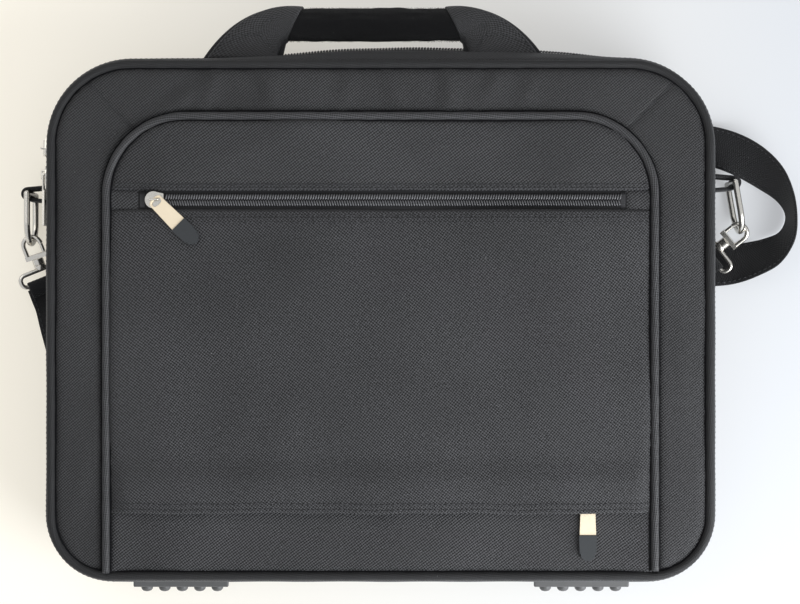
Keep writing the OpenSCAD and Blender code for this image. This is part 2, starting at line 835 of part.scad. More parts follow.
module ring() {
  leg = ring_len - ring_half;
  color([0.8, 0.78, 0.74]) {
    translate([0, 0, -ring_half]) cylinder(r = ring_r, h = 2 * ring_half);
    for (side = [-1, 1]) translate([0, 0, side * ring_half]) {
      sphere(r = ring_r);
      rotate([90, 0, 0]) cylinder(r = ring_r, h = leg);
    }
    translate([0, -leg, 0]) rotate([0, 90, 0]) rotate([0, 0, 180]) rotate_extrude(angle = 180)
      translate([ring_half, 0]) circle(ring_r);
  }
}

module at_hook(y, tilt, yaw, drop) {
  at_ring(y, tilt) translate([0, -ring_len, 0]) rotate([0, 0, tilt + yaw]) rotate([drop, 0, 0]) children();
}

module hook() {
  color([0.8, 0.78, 0.74]) {
    translate([0, crown_y, 0]) rotate_extrude(angle = 180) translate([crown_r, 0]) circle(hook_r);
    translate([-crown_r, hook_base_y, 0]) rotate([-90, 0, 0]) cylinder(r = hook_r, h = crown_y - hook_base_y);
    translate([-crown_r - hook_r, hook_base_y - hook_r, -hook_r])
      cube([2 * (crown_r + hook_r), 2 * hook_r, 2 * hook_r]);
    translate([0, barrel_y, 0]) rotate([90, 0, 0]) cylinder(d = barrel_d, h = barrel_len);
    translate([0, hub_y + play, 0]) rotate([90, 0, 0]) cylinder(d = pin_d, h = play + pin_reach);
  }
}

// The gate closes the hook on the side towards the case
module gate() {
  color([0.74, 0.72, 0.69]) translate([crown_r, hook_base_y + hook_r + gate_gap, 0]) rotate([-90, 0, 0])
    cylinder(d = gate_d, h = gate_len);
}

module swivel_loop() {
  color([0.8, 0.78, 0.74]) {
    difference() {
      translate([0, hub_y, 0]) rotate([90, 0, 0]) cylinder(d = barrel_d, h = hub_len);
      translate([0, hub_y + 1, 0]) rotate([90, 0, 0])
        cylinder(d = pin_d + 2 * play, h = 1 + pin_reach + play);
    }
    for (y = [loop_near_y, loop_far_y]) translate([-loop_half, y, 0]) rotate([0, 90, 0])
      cylinder(r = loop_r, h = 2 * loop_half);
    for (side = [-1, 1]) translate([side * loop_half, loop_far_y, 0]) {
      rotate([-90, 0, 0]) cylinder(r = loop_r, h = loop_near_y - loop_far_y);
      sphere(r = loop_r);
      translate([0, loop_near_y - loop_far_y, 0]) sphere(r = loop_r);
    }
  }
}

module at_left_hook() at_hook(left_ring_y, 0, left_hook_yaw, left_hook_drop) children();

module at_right_hook() {
  mirror([1, 0, 0]) at_hook(right_ring_y, right_tilt, right_hook_yaw, right_hook_drop) children();
}

module left_ring() at_ring(left_ring_y, 0) ring();

module right_ring() mirror([1, 0, 0]) at_ring(right_ring_y, right_tilt) ring();

module left_hook() at_left_hook() hook();

module right_hook() at_right_hook() hook();

module left_gate() at_left_hook() gate();

module right_gate() at_right_hook() gate();

// The left loop leans so that its outer end is high, as the strap pulls it
module left_loop() at_left_hook() rotate([0, left_loop_lean, 0]) swivel_loop();

module right_loop() at_right_hook() rotate([0, right_loop_lean, 0]) swivel_loop();

// ---- Shoulder strap ----

// Points along the strap's middle: place, then the tilt of the webbing, 90 when it stands on edge.
// It goes from the left hook under the case's sloping margin, out at the right, and to the right hook.
strap_route = [
  [-208.43, 22.14, 8.11, -20], [-206.2, 15.29, 6.05, -17], [-203.82, 7.98, 3.85, -12], [-201, -5, 2.4, -6],
  [-197, -20, 1.4, -3], [-191, -36, 0.9, 0], [-186, -56, strap_lie, 0], [-184, -80, strap_lie, 0],
  [-183, -103, strap_lie, 0], [-178, -121, strap_lie, 0], [-163, -133, strap_lie, 0],
  [-140, -136, strap_lie, 0], [-70, -136, strap_lie, 0],
  [0, -136, strap_lie, 0], [70, -136, strap_lie, 0], [140, -136, strap_lie, 0], [163, -133, strap_lie, 0],
  [179, -121, strap_lie, 0], [185, -103, strap_lie, 0], [186, -60, strap_lie, 0], [185, -10, strap_lie, 0],
  [183, 40, strap_lie, 0], [183, 80, strap_lie, 0], [187, 98, strap_lie, 0], [198, 108, 1, 0],
  [211, 107, 2.5, 7], [227, 100, 6, 24], [241, 89, 10, 48], [250, 77, 12.6, 75],
  [254, 64, 13.3, 88], [251, 51, 12.7, 75], [242, 42, 10.2, 48], [230, 37, 7.2, 30],
  [218, 34, 3.4, 12], [207, 33, 1.6, 4.5], [197, 33, 1, 1]
];
strap_steps = 2;

// A smooth curve through four neighbouring points, at t from the second to the third
function curve(a, b, c, d, t) =
  0.5 * (2 * b + (c - a) * t + (2 * a - 5 * b + 4 * c - d) * t * t + (3 * b - a - 3 * c + d) * t * t * t);

strap_last = len(strap_route) - 1;
strap_points = [
  for (i = [0:strap_last - 1]) for (k = [0:strap_steps - 1])
    curve(strap_route[max(i - 1, 0)], strap_route[i], strap_route[i + 1],
      strap_route[min(i + 2, strap_last)], k / strap_steps),
  strap_route[strap_last]
];

// The webbing's section across its width and through its thickness
strap_section = [
  for (end = [1, -1]) each [
    [end * (strap_w / 2 - 0.4), -end * strap_t / 2], [end * strap_w / 2, -end * strap_t / 4],
    [end * strap_w / 2, end * strap_t / 4], [end * (strap_w / 2 - 0.4), end * strap_t / 2]
  ]
];

function place(p) = [p[0], p[1], p[2]];
function unit(v) = v / norm(v);
function strap_ring(i) =
  let (last = len(strap_points) - 1)
  let (along = unit(place(strap_points[min(i + 1, last)]) - place(strap_points[max(i - 1, 0)])))
  let (level = unit([-along[1], along[0], 0]))
  let (up = cross(along, level))
  let (tilt = strap_points[i][3])
  let (wide = cos(tilt) * level + sin(tilt) * up)
  let (thick = cross(along, wide))
  [for (s = strap_section) place(strap_points[i]) + s[0] * wide + s[1] * thick];

module strap() {
  sides = len(strap_section);
  rings = len(strap_points);
  points = [for (i = [0:rings - 1]) each strap_ring(i)];
  walls = [
    for (i = [0:rings - 2]) for (s = [0:sides - 1])
      let (a = i * sides + s, b = i * sides + (s + 1) % sides)
      each [[a, a + sides, b + sides], [a, b + sides, b]]
  ];
  caps = [[for (s = [0:sides - 1]) s], [for (s = [sides - 1:-1:0]) (rings - 1) * sides + s]];
  color([0.06, 0.06, 0.07]) polyhedron(points, concat(walls, caps), convexity = 8);
}

// The slotted plate that sets the strap's length, lying on the strap under the right margin
module strap_adjuster() {
  wide = strap_w + 6;
  slot = (adjuster_len - 3 * adjuster_bar) / 2;
  color([0.1, 0.1, 0.11]) translate([adjuster_x, adjuster_y, strap_lie + strap_t / 2]) difference() {
    translate([-wide / 2, -adjuster_len / 2, 0]) cube([wide, adjuster_len, adjuster_t]);
    for (side = [-1, 1]) translate([-strap_w / 2 - play, side * (slot + adjuster_bar) / 2 - slot / 2, -1])
      cube([strap_w + 2 * play, slot, adjuster_t + 2]);
  }
}
back_panel();
back_foam();
back_board();
back_lining();
back_piping();
back_gusset();
bottom_gusset();
back_zip_tape();
back_zip_coil();
laptop_divider();
divider_strap();
feet();
foot_rivets();
left_ring_tab();
right_ring_tab();
back_handle_root();
front_piping();
front_gusset();
lid_bottom_gusset();
front_zip_tape();
front_zip_coil();
left_frame();
top_frame();
right_frame();
inner_piping();
upper_panel();
flap_panel();
lower_panel();
pocket_zip_tape();
pocket_zip_coil();
pocket_zip_stops();
lower_zip_tape();
lower_zip_coil();
lid_board();
lid_lining();
front_handle_root();
pocket_slider();
pocket_pull();
pocket_pull_tip();
lower_slider();
lower_pull();
lower_pull_tip();
upper_main_slider();
upper_main_pull();
lower_main_slider();
lower_main_pull();
front_handle();
handle_core();
grip_wrap();
back_handle();
left_ring();
right_ring();
left_hook();
right_hook();
left_gate();
right_gate();
left_loop();
right_loop();
strap();
strap_adjuster();
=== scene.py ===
"""Fabric, piping, zips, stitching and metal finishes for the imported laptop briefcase.

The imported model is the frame: +Z out of the front, +Y towards the handle, metres. Shapes are worked out in
millimetres here and turned into metres where a mesh is made.
"""

import math

import bpy
import numpy as np
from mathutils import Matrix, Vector


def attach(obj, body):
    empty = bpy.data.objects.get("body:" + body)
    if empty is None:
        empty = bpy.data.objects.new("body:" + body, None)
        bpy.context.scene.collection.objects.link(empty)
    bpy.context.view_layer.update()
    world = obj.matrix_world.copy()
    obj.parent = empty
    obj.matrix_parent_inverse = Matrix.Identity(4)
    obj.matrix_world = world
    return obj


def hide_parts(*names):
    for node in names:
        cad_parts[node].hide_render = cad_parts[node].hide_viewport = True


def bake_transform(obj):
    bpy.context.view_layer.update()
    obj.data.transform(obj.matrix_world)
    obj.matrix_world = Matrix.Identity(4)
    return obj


bl_info = {
    "name": "Laptop briefcase",
    "version": (1, 0, 0),
    "blender": (4, 5, 0),
    "location": "3D View > Sidebar > Briefcase",
    "description": "Dresses the packed laptop briefcase in its fabrics, piping, zips, stitching and metal",
    "category": "Object",
}

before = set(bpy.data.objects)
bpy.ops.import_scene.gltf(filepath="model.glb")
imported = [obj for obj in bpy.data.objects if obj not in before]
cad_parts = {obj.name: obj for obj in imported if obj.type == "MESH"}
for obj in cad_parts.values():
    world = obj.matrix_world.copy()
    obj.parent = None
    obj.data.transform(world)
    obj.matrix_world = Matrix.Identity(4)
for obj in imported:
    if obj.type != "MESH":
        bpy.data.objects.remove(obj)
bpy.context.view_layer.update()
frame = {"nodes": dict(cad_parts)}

MM = 0.001

# Sizes in millimetres that the fabric shares with the solids
HALF_W, HALF_H = 197.5, 154.0
TOP_R, BOTTOM_R = 50.0, 38.0
PIPING_R = 2.3
BACK_Z, FRONT_Z = 10.3, 60.0
PART_Z = (BACK_Z + FRONT_Z) / 2
HALF_DEPTH = (FRONT_Z - BACK_Z) / 2
BULGE = 4.0
TAPE_BACK_Z, TAPE_FRONT_Z = 20.15, 50.15
COIL_BACK_Z, COIL_FRONT_Z = 31.15, 39.15
PART_GAP = 0.4
FRAME_Z, PANEL_Z, TAPE_Z = 61.0, 63.0, 60.6
INNER_X, INNER_TOP, INNER_R = 162.3, 120.8, 47.0
INNER_PIPING_Z, INNER_PIPING_R = 62.0, 2.2
POCKET_ZIP_Y, HEM_Y, LOWER_ZIP_Y = 71.0, -113.7, -106.7
FLAP_HALF_W, ZIP_SLOT = 160.6, 5.6
LOWER_TAPE_Z = 57.3
HANDLE_X, ROOT_Y = -4.0, 158.37
FRONT_ROOT_Z, BACK_ROOT_Z = 50.0, 20.3
FOOT_X, FOOT_Z, LUG_PITCH = 122.5, 20.1, 10.8
POCKET_PULL_AT, LOWER_PULL_AT = (-133.5, 71.0, 65.1), (122.5, -106.7, 61.8)
LEFT_LOOP_AT, RIGHT_LOOP_AT = (-216.5, 47.0, 15.6), (221.709, 54.456, 15.6)
LOOP_FAR_Y = -24.9
GRIP_Y, GRIP_Z, BACK_GRIP_Z = 178.0, 40.15, 25.85
GRIP_LEN, GRIP_R, BACK_GRIP_R = 108.0, 10.0, 4.0
STRAP_W, STRAP_T = 25.0, 1.4

# How each swivel loop hangs, in degrees: yaw, drop, lean
LEFT_HANG, RIGHT_HANG = (18, 16, 20), (50, 25, 5)

# Rows of stitches: heights below the pocket zip, and distances above the hem
ZIP_SEAMS_Y, HEM_SEAMS = (61.8, 57.6), (2.0, 5.4)

# The strap's middle line: place, then the webbing's tilt in degrees, as in the solids
STRAP_ROUTE = (
    (-208.43, 22.14, 8.11, -20), (-206.2, 15.29, 6.05, -17), (-203.82, 7.98, 3.85, -12), (-201, -5, 2.4, -6),
    (-197, -20, 1.4, -3), (-191, -36, 0.9, 0), (-186, -56, 0.8, 0), (-184, -80, 0.8, 0),
    (-183, -103, 0.8, 0), (-178, -121, 0.8, 0), (-163, -133, 0.8, 0), (-140, -136, 0.8, 0),
    (-70, -136, 0.8, 0), (0, -136, 0.8, 0), (70, -136, 0.8, 0), (140, -136, 0.8, 0), (163, -133, 0.8, 0),
    (179, -121, 0.8, 0), (185, -103, 0.8, 0), (186, -60, 0.8, 0), (185, -10, 0.8, 0), (183, 40, 0.8, 0),
    (183, 80, 0.8, 0), (187, 98, 0.8, 0), (198, 108, 1, 0), (211, 107, 2.5, 7), (227, 100, 6, 24),
    (241, 89, 10, 48), (250, 77, 12.6, 75), (254, 64, 13.3, 88), (251, 51, 12.7, 75), (242, 42, 10.2, 48),
    (230, 37, 7.2, 30), (218, 34, 3.4, 12), (207, 33, 1.6, 4.5), (197, 33, 1, 1),
)


# ---- Settings that a user changes ----


class BriefcaseSizes(bpy.types.PropertyGroup):
    """Sizes of the fabric, the stitches and the zip teeth"""

    pillow: bpy.props.FloatProperty(
        name="Pillow", description="How far the padded panels swell between their seams", default=0.0007,
        min=0, max=0.003, subtype="DISTANCE", unit="LENGTH")
    ripple: bpy.props.FloatProperty(
        name="Ripple", description="Height of the soft waves in the panels", default=0.0008, min=0,
        max=0.002, subtype="DISTANCE", unit="LENGTH")
    pucker: bpy.props.FloatProperty(
        name="Pucker", description="Height of the small gathers along the seams", default=0.0004, min=0,
        max=0.001, subtype="DISTANCE", unit="LENGTH")
    top_bulge: bpy.props.FloatProperty(
        name="Top bulge", description="How much further the gusset swells at the handle", default=0.007,
        min=0, max=0.01, subtype="DISTANCE", unit="LENGTH")
    stitch_pitch: bpy.props.FloatProperty(
        name="Stitch pitch", description="Distance from one stitch to the next", default=0.0031, min=0.002,
        max=0.006, subtype="DISTANCE", unit="LENGTH")
    small_teeth: bpy.props.FloatProperty(
        name="Small tooth pitch", description="Distance between the teeth of the small zips", default=0.0015,
        min=0.001, max=0.003, subtype="DISTANCE", unit="LENGTH")
    main_teeth: bpy.props.FloatProperty(
        name="Main tooth pitch", description="Distance between the teeth of the main zip", default=0.0018,
        min=0.001, max=0.003, subtype="DISTANCE", unit="LENGTH")
    panel_weave: bpy.props.FloatProperty(
        name="Panel weave", description="Width of one thread in the middle panels", default=0.00102,
        min=0.0004, max=0.002, subtype="DISTANCE", unit="LENGTH")
    frame_weave: bpy.props.FloatProperty(
        name="Frame weave", description="Width of one thread in the frame and gussets", default=0.00095,
        min=0.0003, max=0.002, subtype="DISTANCE", unit="LENGTH")


class BriefcaseColours(bpy.types.PropertyGroup):
    """Colours of the fabrics, the thread and the metal"""

    panel: bpy.props.FloatVectorProperty(
        name="Panel", description="Nylon of the middle panels", default=(0.031, 0.031, 0.033), size=3, min=0,
        max=1, subtype="COLOR")
    frame: bpy.props.FloatVectorProperty(
        name="Frame", description="Nylon of the frame and gussets", default=(0.0255, 0.0255, 0.027), size=3,
        min=0, max=1, subtype="COLOR")
    piping: bpy.props.FloatVectorProperty(
        name="Piping", description="Covering of the piping", default=(0.033, 0.033, 0.035), size=3, min=0,
        max=1, subtype="COLOR")
    webbing: bpy.props.FloatVectorProperty(
        name="Webbing", description="Shoulder strap and tabs", default=(0.009, 0.009, 0.010), size=3, min=0,
        max=1, subtype="COLOR")
    lining: bpy.props.FloatVectorProperty(
        name="Lining", description="Padded lining", default=(0.020, 0.020, 0.023), size=3, min=0, max=1,
        subtype="COLOR")
    thread: bpy.props.FloatVectorProperty(
        name="Thread", description="Sewing thread", default=(0.030, 0.030, 0.033), size=3, min=0, max=1,
        subtype="COLOR")
    metal: bpy.props.FloatVectorProperty(
        name="Metal", description="Satin nickel of the sliders, rings and hooks", default=(0.78, 0.75, 0.69),
        size=3, min=0, max=1, subtype="COLOR")


def sizes():
    return bpy.context.scene.briefcase_sizes


def colours():
    return bpy.context.scene.briefcase_colours


# ---- Meshes ----


def mesh_object(name, verts, faces, corner_uvs=None):
    """A smooth object from millimetre points, with one UV pair per face corner, in metres of cloth."""
    mesh = bpy.data.meshes.new(name)
    mesh.from_pydata((np.asarray(verts, float) * MM).tolist(), [], faces)
    if corner_uvs is not None:
        layer = mesh.uv_layers.new(name="Cloth")
        layer.data.foreach_set("uv", (np.asarray(corner_uvs, float) * MM).astype(np.float32).ravel())
    mesh.polygons.foreach_set("use_smooth", [True] * len(mesh.polygons))
    mesh.update()
    obj = bpy.data.objects.new(name, mesh)
    bpy.context.scene.collection.objects.link(obj)
    return obj


def grid_parts(points, uv, wrap_u=False, wrap_v=False, flip=False):
    """Points, quads and corner UVs of a grid; uv has one more row or column where it closes on itself."""
    n, m = points.shape[:2]
    i = np.arange(n if wrap_u else n - 1)
    j = np.arange(m if wrap_v else m - 1)
    i, j = (a.ravel() for a in np.meshgrid(i, j, indexing="ij"))
    corners = [(i, j), (i + 1, j), (i + 1, j + 1), (i, j + 1)]
    if flip:
        corners.reverse()
    faces = np.stack([(a % n) * m + b % m for a, b in corners], axis=1)
    uvs = np.stack([uv[a, b] for a, b in corners], axis=1).reshape(-1, 2)
    return points.reshape(-1, 3), faces.tolist(), uvs


def grid_object(name, points, uv, wrap_u=False, wrap_v=False, flip=False, caps=False):
    """A grid of points as one object; caps close the two open ends of a tube that is closed across."""
    verts, faces, uvs = grid_parts(points, uv, wrap_u, wrap_v, flip)
    if caps:
        n, m = points.shape[:2]
        ends = [list(range(m)), list(range((n - 1) * m + m - 1, (n - 1) * m - 1, -1))]
        if flip:
            ends = [list(reversed(e)) for e in ends]
        faces = faces + ends
        uvs = np.concatenate([uvs, np.zeros((2 * m, 2))])
    return mesh_object(name, verts, faces, uvs)


def join_parts(name, parts):
    """Several (points, faces, corner UVs) as one object."""
    verts, faces, uvs, start = [], [], [], 0
    for points, quads, corner in parts:
        verts.append(points)
        faces += [[start + k for k in f] for f in quads]
        uvs.append(corner)
        start += len(points)
    return mesh_object(name, np.concatenate(verts), faces, np.concatenate(uvs))


def lengths(path):
    """Distance along a path at each of its points."""
    steps = np.linalg.norm(np.diff(path, axis=0), axis=1)
    return np.concatenate([[0], np.cumsum(steps)])


def resample(path, pitch):
    """Points one pitch apart along a path, with the directions there."""
    s = lengths(path)
    count = max(2, int(s[-1] / pitch) + 1)
    at = np.linspace(0, s[-1], count)
    points = np.stack([np.interp(at, s, path[:, k]) for k in range(path.shape[1])], axis=1)
    along = np.gradient(points[:, :3], axis=0)
    return points, along / np.maximum(np.linalg.norm(along, axis=1, keepdims=True), 1e-9)


def unit(v):
    """Directions of length one."""
    return v / np.maximum(np.linalg.norm(v, axis=-1, keepdims=True), 1e-9)


def round_angles(count):
    """Even angles round a section, in radians."""
    return np.arange(count) * 2 * math.pi / count


def uv_grid(along, across):
    """Corner UVs of a grid from its lengths along and across."""
    return np.stack(np.meshgrid(along, across, indexing="ij"), axis=-1)


def bead(length, radius, height, rings=5, sides=6):
    """A small rounded bar along x, arched by height: the shape of one stitch or one zip tooth."""
    t = np.linspace(-1, 1, rings)
    swell = np.sqrt(np.clip(1 - 0.86 * t**4, 0, 1))
    angle = round_angles(sides)
    x = np.repeat(t * length / 2, sides)
    y = (radius * swell[:, None] * np.cos(angle)).ravel()
    z = (radius * swell[:, None] * np.sin(angle) + height * (1 - t[:, None] ** 2)).ravel()
    faces = [
        [r * sides + s, r * sides + (s + 1) % sides, (r + 1) * sides + (s + 1) % sides, (r + 1) * sides + s]
        for r in range(rings - 1) for s in range(sides)
    ]
    faces = [f[::-1] for f in faces]
    faces += [list(range(sides)), list(range(rings * sides - 1, (rings - 1) * sides - 1, -1))]
    return np.stack([x, y, z], axis=1), faces


def scatter(name, shape, places, along, up):
    """Copies of a small shape at places, turned by along and up, as one object."""
    points, faces = shape
    side = unit(np.cross(up, along))
    up = unit(np.cross(along, side))
    verts = (places[:, None] + points[None, :, :1] * along[:, None] + points[None, :, 1:2] * side[:, None]
             + points[None, :, 2:] * up[:, None])
    n = len(points)
    quads = [[k * n + v for v in f] for k in range(len(places)) for f in faces]
    uvs = np.zeros((sum(len(f) for f in quads), 2))
    return mesh_object(name, verts.reshape(-1, 3), quads, uvs)


def sew(name, paths, body, up=(0, 0, 1), lift=0.12, pitch=None, length=2.3, radius=0.3):
    """Stitches along millimetre paths; up is one direction, or a path has six columns with its own."""
    pitch = pitch or sizes().stitch_pitch / MM
    places, ways, ups = [], [], []
    for path in paths:
        path = np.asarray(path, float)
        points, along = resample(path, pitch)
        has_normals = path.shape[1] == 6
        normal = unit(points[:, 3:6]) if has_normals else np.tile(np.asarray(up, float), (len(points), 1))
        places.append(points[:, :3] + normal * lift)
        ways.append(along)
        ups.append(normal)
    spots = [np.concatenate(a) for a in (places, ways, ups)]
    obj = scatter(name, bead(length, radius, 0.12, rings=4), *spots)
    finish_piece(obj, "sewing_thread", body, "zip_tape")
    return obj


def finish_piece(obj, material, body, slot, *nodes):
    """Gives a piece its material, its body and the solids that it stands for; slot is not used."""
    obj.data.materials.append(MATERIALS[material])
    if body:
        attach(obj, body)
    if nodes:
        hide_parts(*nodes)
    return obj


# ---- The case's outline and heights ----


def edge_run(kind, step=4.0):
    """Points and outward directions round the case's edge: the zip's way, the bottom, or the whole loop."""
    points, normals = [], []

    def line(a, b, n):
        count = max(2, int(np.hypot(b[0] - a[0], b[1] - a[1]) / step))
        for t in np.linspace(0, 1, count, endpoint=False):
            points.append((a[0] + (b[0] - a[0]) * t, a[1] + (b[1] - a[1]) * t))
            normals.append(n)

    def arc(x, y, r, start, end):
        for a in np.radians(np.linspace(start, end, 24, endpoint=False)):
            points.append((x + r * math.cos(a), y + r * math.sin(a)))
            normals.append((math.cos(a), math.sin(a)))

    top_x, top_y = HALF_W - TOP_R, HALF_H - TOP_R
    low_x, low_y = HALF_W - BOTTOM_R, BOTTOM_R - HALF_H
    if kind != "bottom":
        arc(-low_x, low_y, BOTTOM_R, 270, 180)
        line((-HALF_W, low_y), (-HALF_W, top_y), (-1, 0))
        arc(-top_x, top_y, TOP_R, 180, 90)
        line((-top_x, HALF_H), (top_x, HALF_H), (0, 1))
        arc(top_x, top_y, TOP_R, 90, 0)
        line((HALF_W, top_y), (HALF_W, low_y), (1, 0))
        arc(low_x, low_y, BOTTOM_R, 0, -90)
    if kind != "zip":
        line((low_x, -HALF_H), (-low_x, -HALF_H), (0, -1))
    if kind == "zip":
        points.append((low_x, -HALF_H))
        normals.append((0, -1))
    if kind == "bottom":
        points.append((-low_x, -HALF_H))
        normals.append((0, -1))
    return np.array(points), np.array(normals)


def run_length(points, closed=False):
    """Lengths along a run of edge points, with the way back to the first where it is closed."""
    s = lengths(points)
    if closed:
        s = np.append(s, s[-1] + np.linalg.norm(points[0] - points[-1]))
    return s


def swell(z):
    """How far the gusset swells out at a height between the two panels."""
    return BULGE * (1 - ((z - PART_Z) / HALF_DEPTH) ** 2)


def wall_out(points, z, noise=1.0):
    """How far the soft gusset stands out of the edge at each run point and height."""
    x, y = points[:, :1], points[:, 1:2]
    handle_end = np.clip((y - 140) / 14, 0, 1)
    extra = sizes().top_bulge / MM * np.exp(-(((x - 30) / 95) ** 4)) * handle_end
    soft = 0.25 * np.sin(0.061 * x + 0.5) * np.sin(0.047 * y + 1.1) + 0.15 * np.sin(0.13 * (x - y))
    share = 1 - ((z - PART_Z) / HALF_DEPTH) ** 2
    return swell(z) + (extra + noise * soft) * np.clip(share, 0, 1)


def rounded_depth(x, y, half_w, half_h, radius):
    """Distance inwards from a rounded rectangle's edge."""
    qx, qy = np.abs(x) - (half_w - radius), np.abs(y) - (half_h - radius)
    outside = np.hypot(np.maximum(qx, 0), np.maximum(qy, 0)) + np.minimum(np.maximum(qx, qy), 0)
    return radius - outside


def edge_depth(x, y):
    """Distance inwards from the case's edge."""
    return np.where(y > 0, rounded_depth(x, y, HALF_W, HALF_H, TOP_R),
                    rounded_depth(x, y, HALF_W, HALF_H, BOTTOM_R))


def inner_depth(x, y):
    """Distance inwards from the middle of the inner piping, whose run is open at the bottom."""
    qx, qy = np.abs(x) - (INNER_X - INNER_R), y - (INNER_TOP - INNER_R)
    outside = np.hypot(np.maximum(qx, 0), np.maximum(qy, 0)) + np.minimum(np.maximum(qx, qy), 0)
    return INNER_R - outside


def waves(x, y, seed, short, long, count=14):
    """Soft irregular waves between two wavelengths, about one high."""
    rng = np.random.default_rng(seed)
    total = np.zeros(np.broadcast(x, y).shape)
    for _ in range(count):
        wavelength = rng.uniform(short, long)
        a, phase = rng.uniform(0, 2 * math.pi, 2)
        total = total + np.sin(2 * math.pi * (x * math.cos(a) + y * math.sin(a)) / wavelength + phase)
    return total / math.sqrt(count)


# Soft folds in the front: place, direction in degrees, half length, half width, height
CREASES = (
    (-101, 136, 72, 12, 4, 1.5), (-66, 138, 108, 12, 5, 1.6), (-20, 137, 80, 11, 5, 1.0),
    (41, 137, 96, 13, 5, 1.6), (88, 136, 70, 10, 5, 0.9), (8, 136, 112, 11, 4, 0.9),
    (66, 139, 60, 9, 4, 0.8), (-70, 104, 20, 34, 6, 0.35), (-20, 108, 165, 40, 6, 0.4),
    (60, 106, 12, 36, 6, 0.35), (120, 92, 140, 16, 6, 0.3), (-30, 52, 174, 60, 5, 0.25),
    (-55, -60, 62, 30, 9, 0.35), (75, -70, 118, 34, 9, 0.35), (-118, 130, 36, 20, 4.5, 1.3),
    (-130, 95, 114, 14, 4, 0.5), (-179, 40, 88, 40, 6, 0.3), (179, -20, 92, 45, 6, 0.35),
    (-178, -100, 80, 20, 5, 0.35), (150, 30, 95, 50, 8, 0.3),
)


def folds(x, y):
    """Height that the soft folds add to the front."""
    total = np.zeros(np.broadcast(x, y).shape)
    for cx, cy, turn, half_len, half_wide, height in CREASES:
        c, s = math.cos(math.radians(turn)), math.sin(math.radians(turn))
        t, w = (x - cx) * c + (y - cy) * s, (y - cy) * c - (x - cx) * s
        fold = np.exp(-((w / half_wide) ** 2))
        hollow = 0.4 * np.exp(-(((w - 1.8 * half_wide) / half_wide) ** 2))
        total = total + height * np.exp(-((t / half_len) ** 2)) * (fold - hollow)
    return 1.25 * total


def gathers(x, y, distance):
    """Small gathers that fade away from a seam."""
    ridge = np.sin(0.62 * (x + y) + 2.2 * np.sin(0.071 * (x - y))) * (0.6 + 0.4 * np.sin(0.09 * (x + 2 * y)))
    return sizes().pucker / MM * ridge * np.exp(-np.maximum(distance, 0) / 5)


def frame_height(x, y):
    """Height of the padded frame, sunk at its seams and mitres."""
    outer = edge_depth(x, y) - 2 * PIPING_R
    inner = -inner_depth(x, y) - INNER_PIPING_R
    seam = np.minimum(outer, inner)
    z = FRAME_Z + sizes().pillow / MM * (1 - np.exp(-np.maximum(seam, 0) / 7))
    z = z - 2.8 * np.exp(-np.maximum(outer, 0) / 1.3) - 1.9 * np.exp(-np.maximum(inner, 0) / 1.1)
    mitre = (np.abs(x) - y - 33) / math.sqrt(2)
    corner = (np.abs(x) > 110) & (y > 60)
    z = z - np.where(corner, 0.9 * np.exp(-np.abs(mitre) / 0.9), 0)
    return z + gathers(x, y, seam) + 0.6 * sizes().ripple / MM * waves(x, y, 3, 40, 110) + folds(x, y)


def middle_height(x, y):
    """Height of the middle panels, sunk along the inner piping."""
    seam = inner_depth(x, y) - INNER_PIPING_R
    z = PANEL_Z + sizes().pillow / MM * (1 - np.exp(-np.maximum(seam, 0) / 16))
    z = z - 2.4 * np.exp(-np.maximum(seam, 0) / 1.2)
    return z + gathers(x, y, seam) + sizes().ripple / MM * waves(x, y, 5, 45, 150) + folds(x, y)


# ---- Materials ----

MATERIALS = {}


def group_input(group, name, kind, default):
    socket = group.interface.new_socket(name=name, in_out="INPUT", socket_type=kind)
    socket.default_value = default
    return socket


def add(nodes, kind, **values):
    node = nodes.new(kind)
    for key, value in values.items():
        setattr(node, key, value)
    return node


def maths(tree, operation, a, b=None):
    """The output of a Math node; a and b are numbers or other nodes' outputs."""
    node = add(tree.nodes, "ShaderNodeMath", operation=operation)
    for socket, value in zip(node.inputs, (a, b)):
        if value is None:
            continue
        if isinstance(value, (int, float)):
            socket.default_value = value
        else:
            tree.links.new(value, socket)
    return node.outputs[0]


def noise(tree, scale, detail, place):
    """A noise texture's value, by the places given."""
    node = add(tree.nodes, "ShaderNodeTexNoise")
    node.inputs["Detail"].default_value = detail
    if isinstance(scale, (int, float)):
        node.inputs["Scale"].default_value = scale
    else:
        tree.links.new(scale, node.inputs["Scale"])
    tree.links.new(place, node.inputs["Vector"])
    return node.outputs["Fac"]


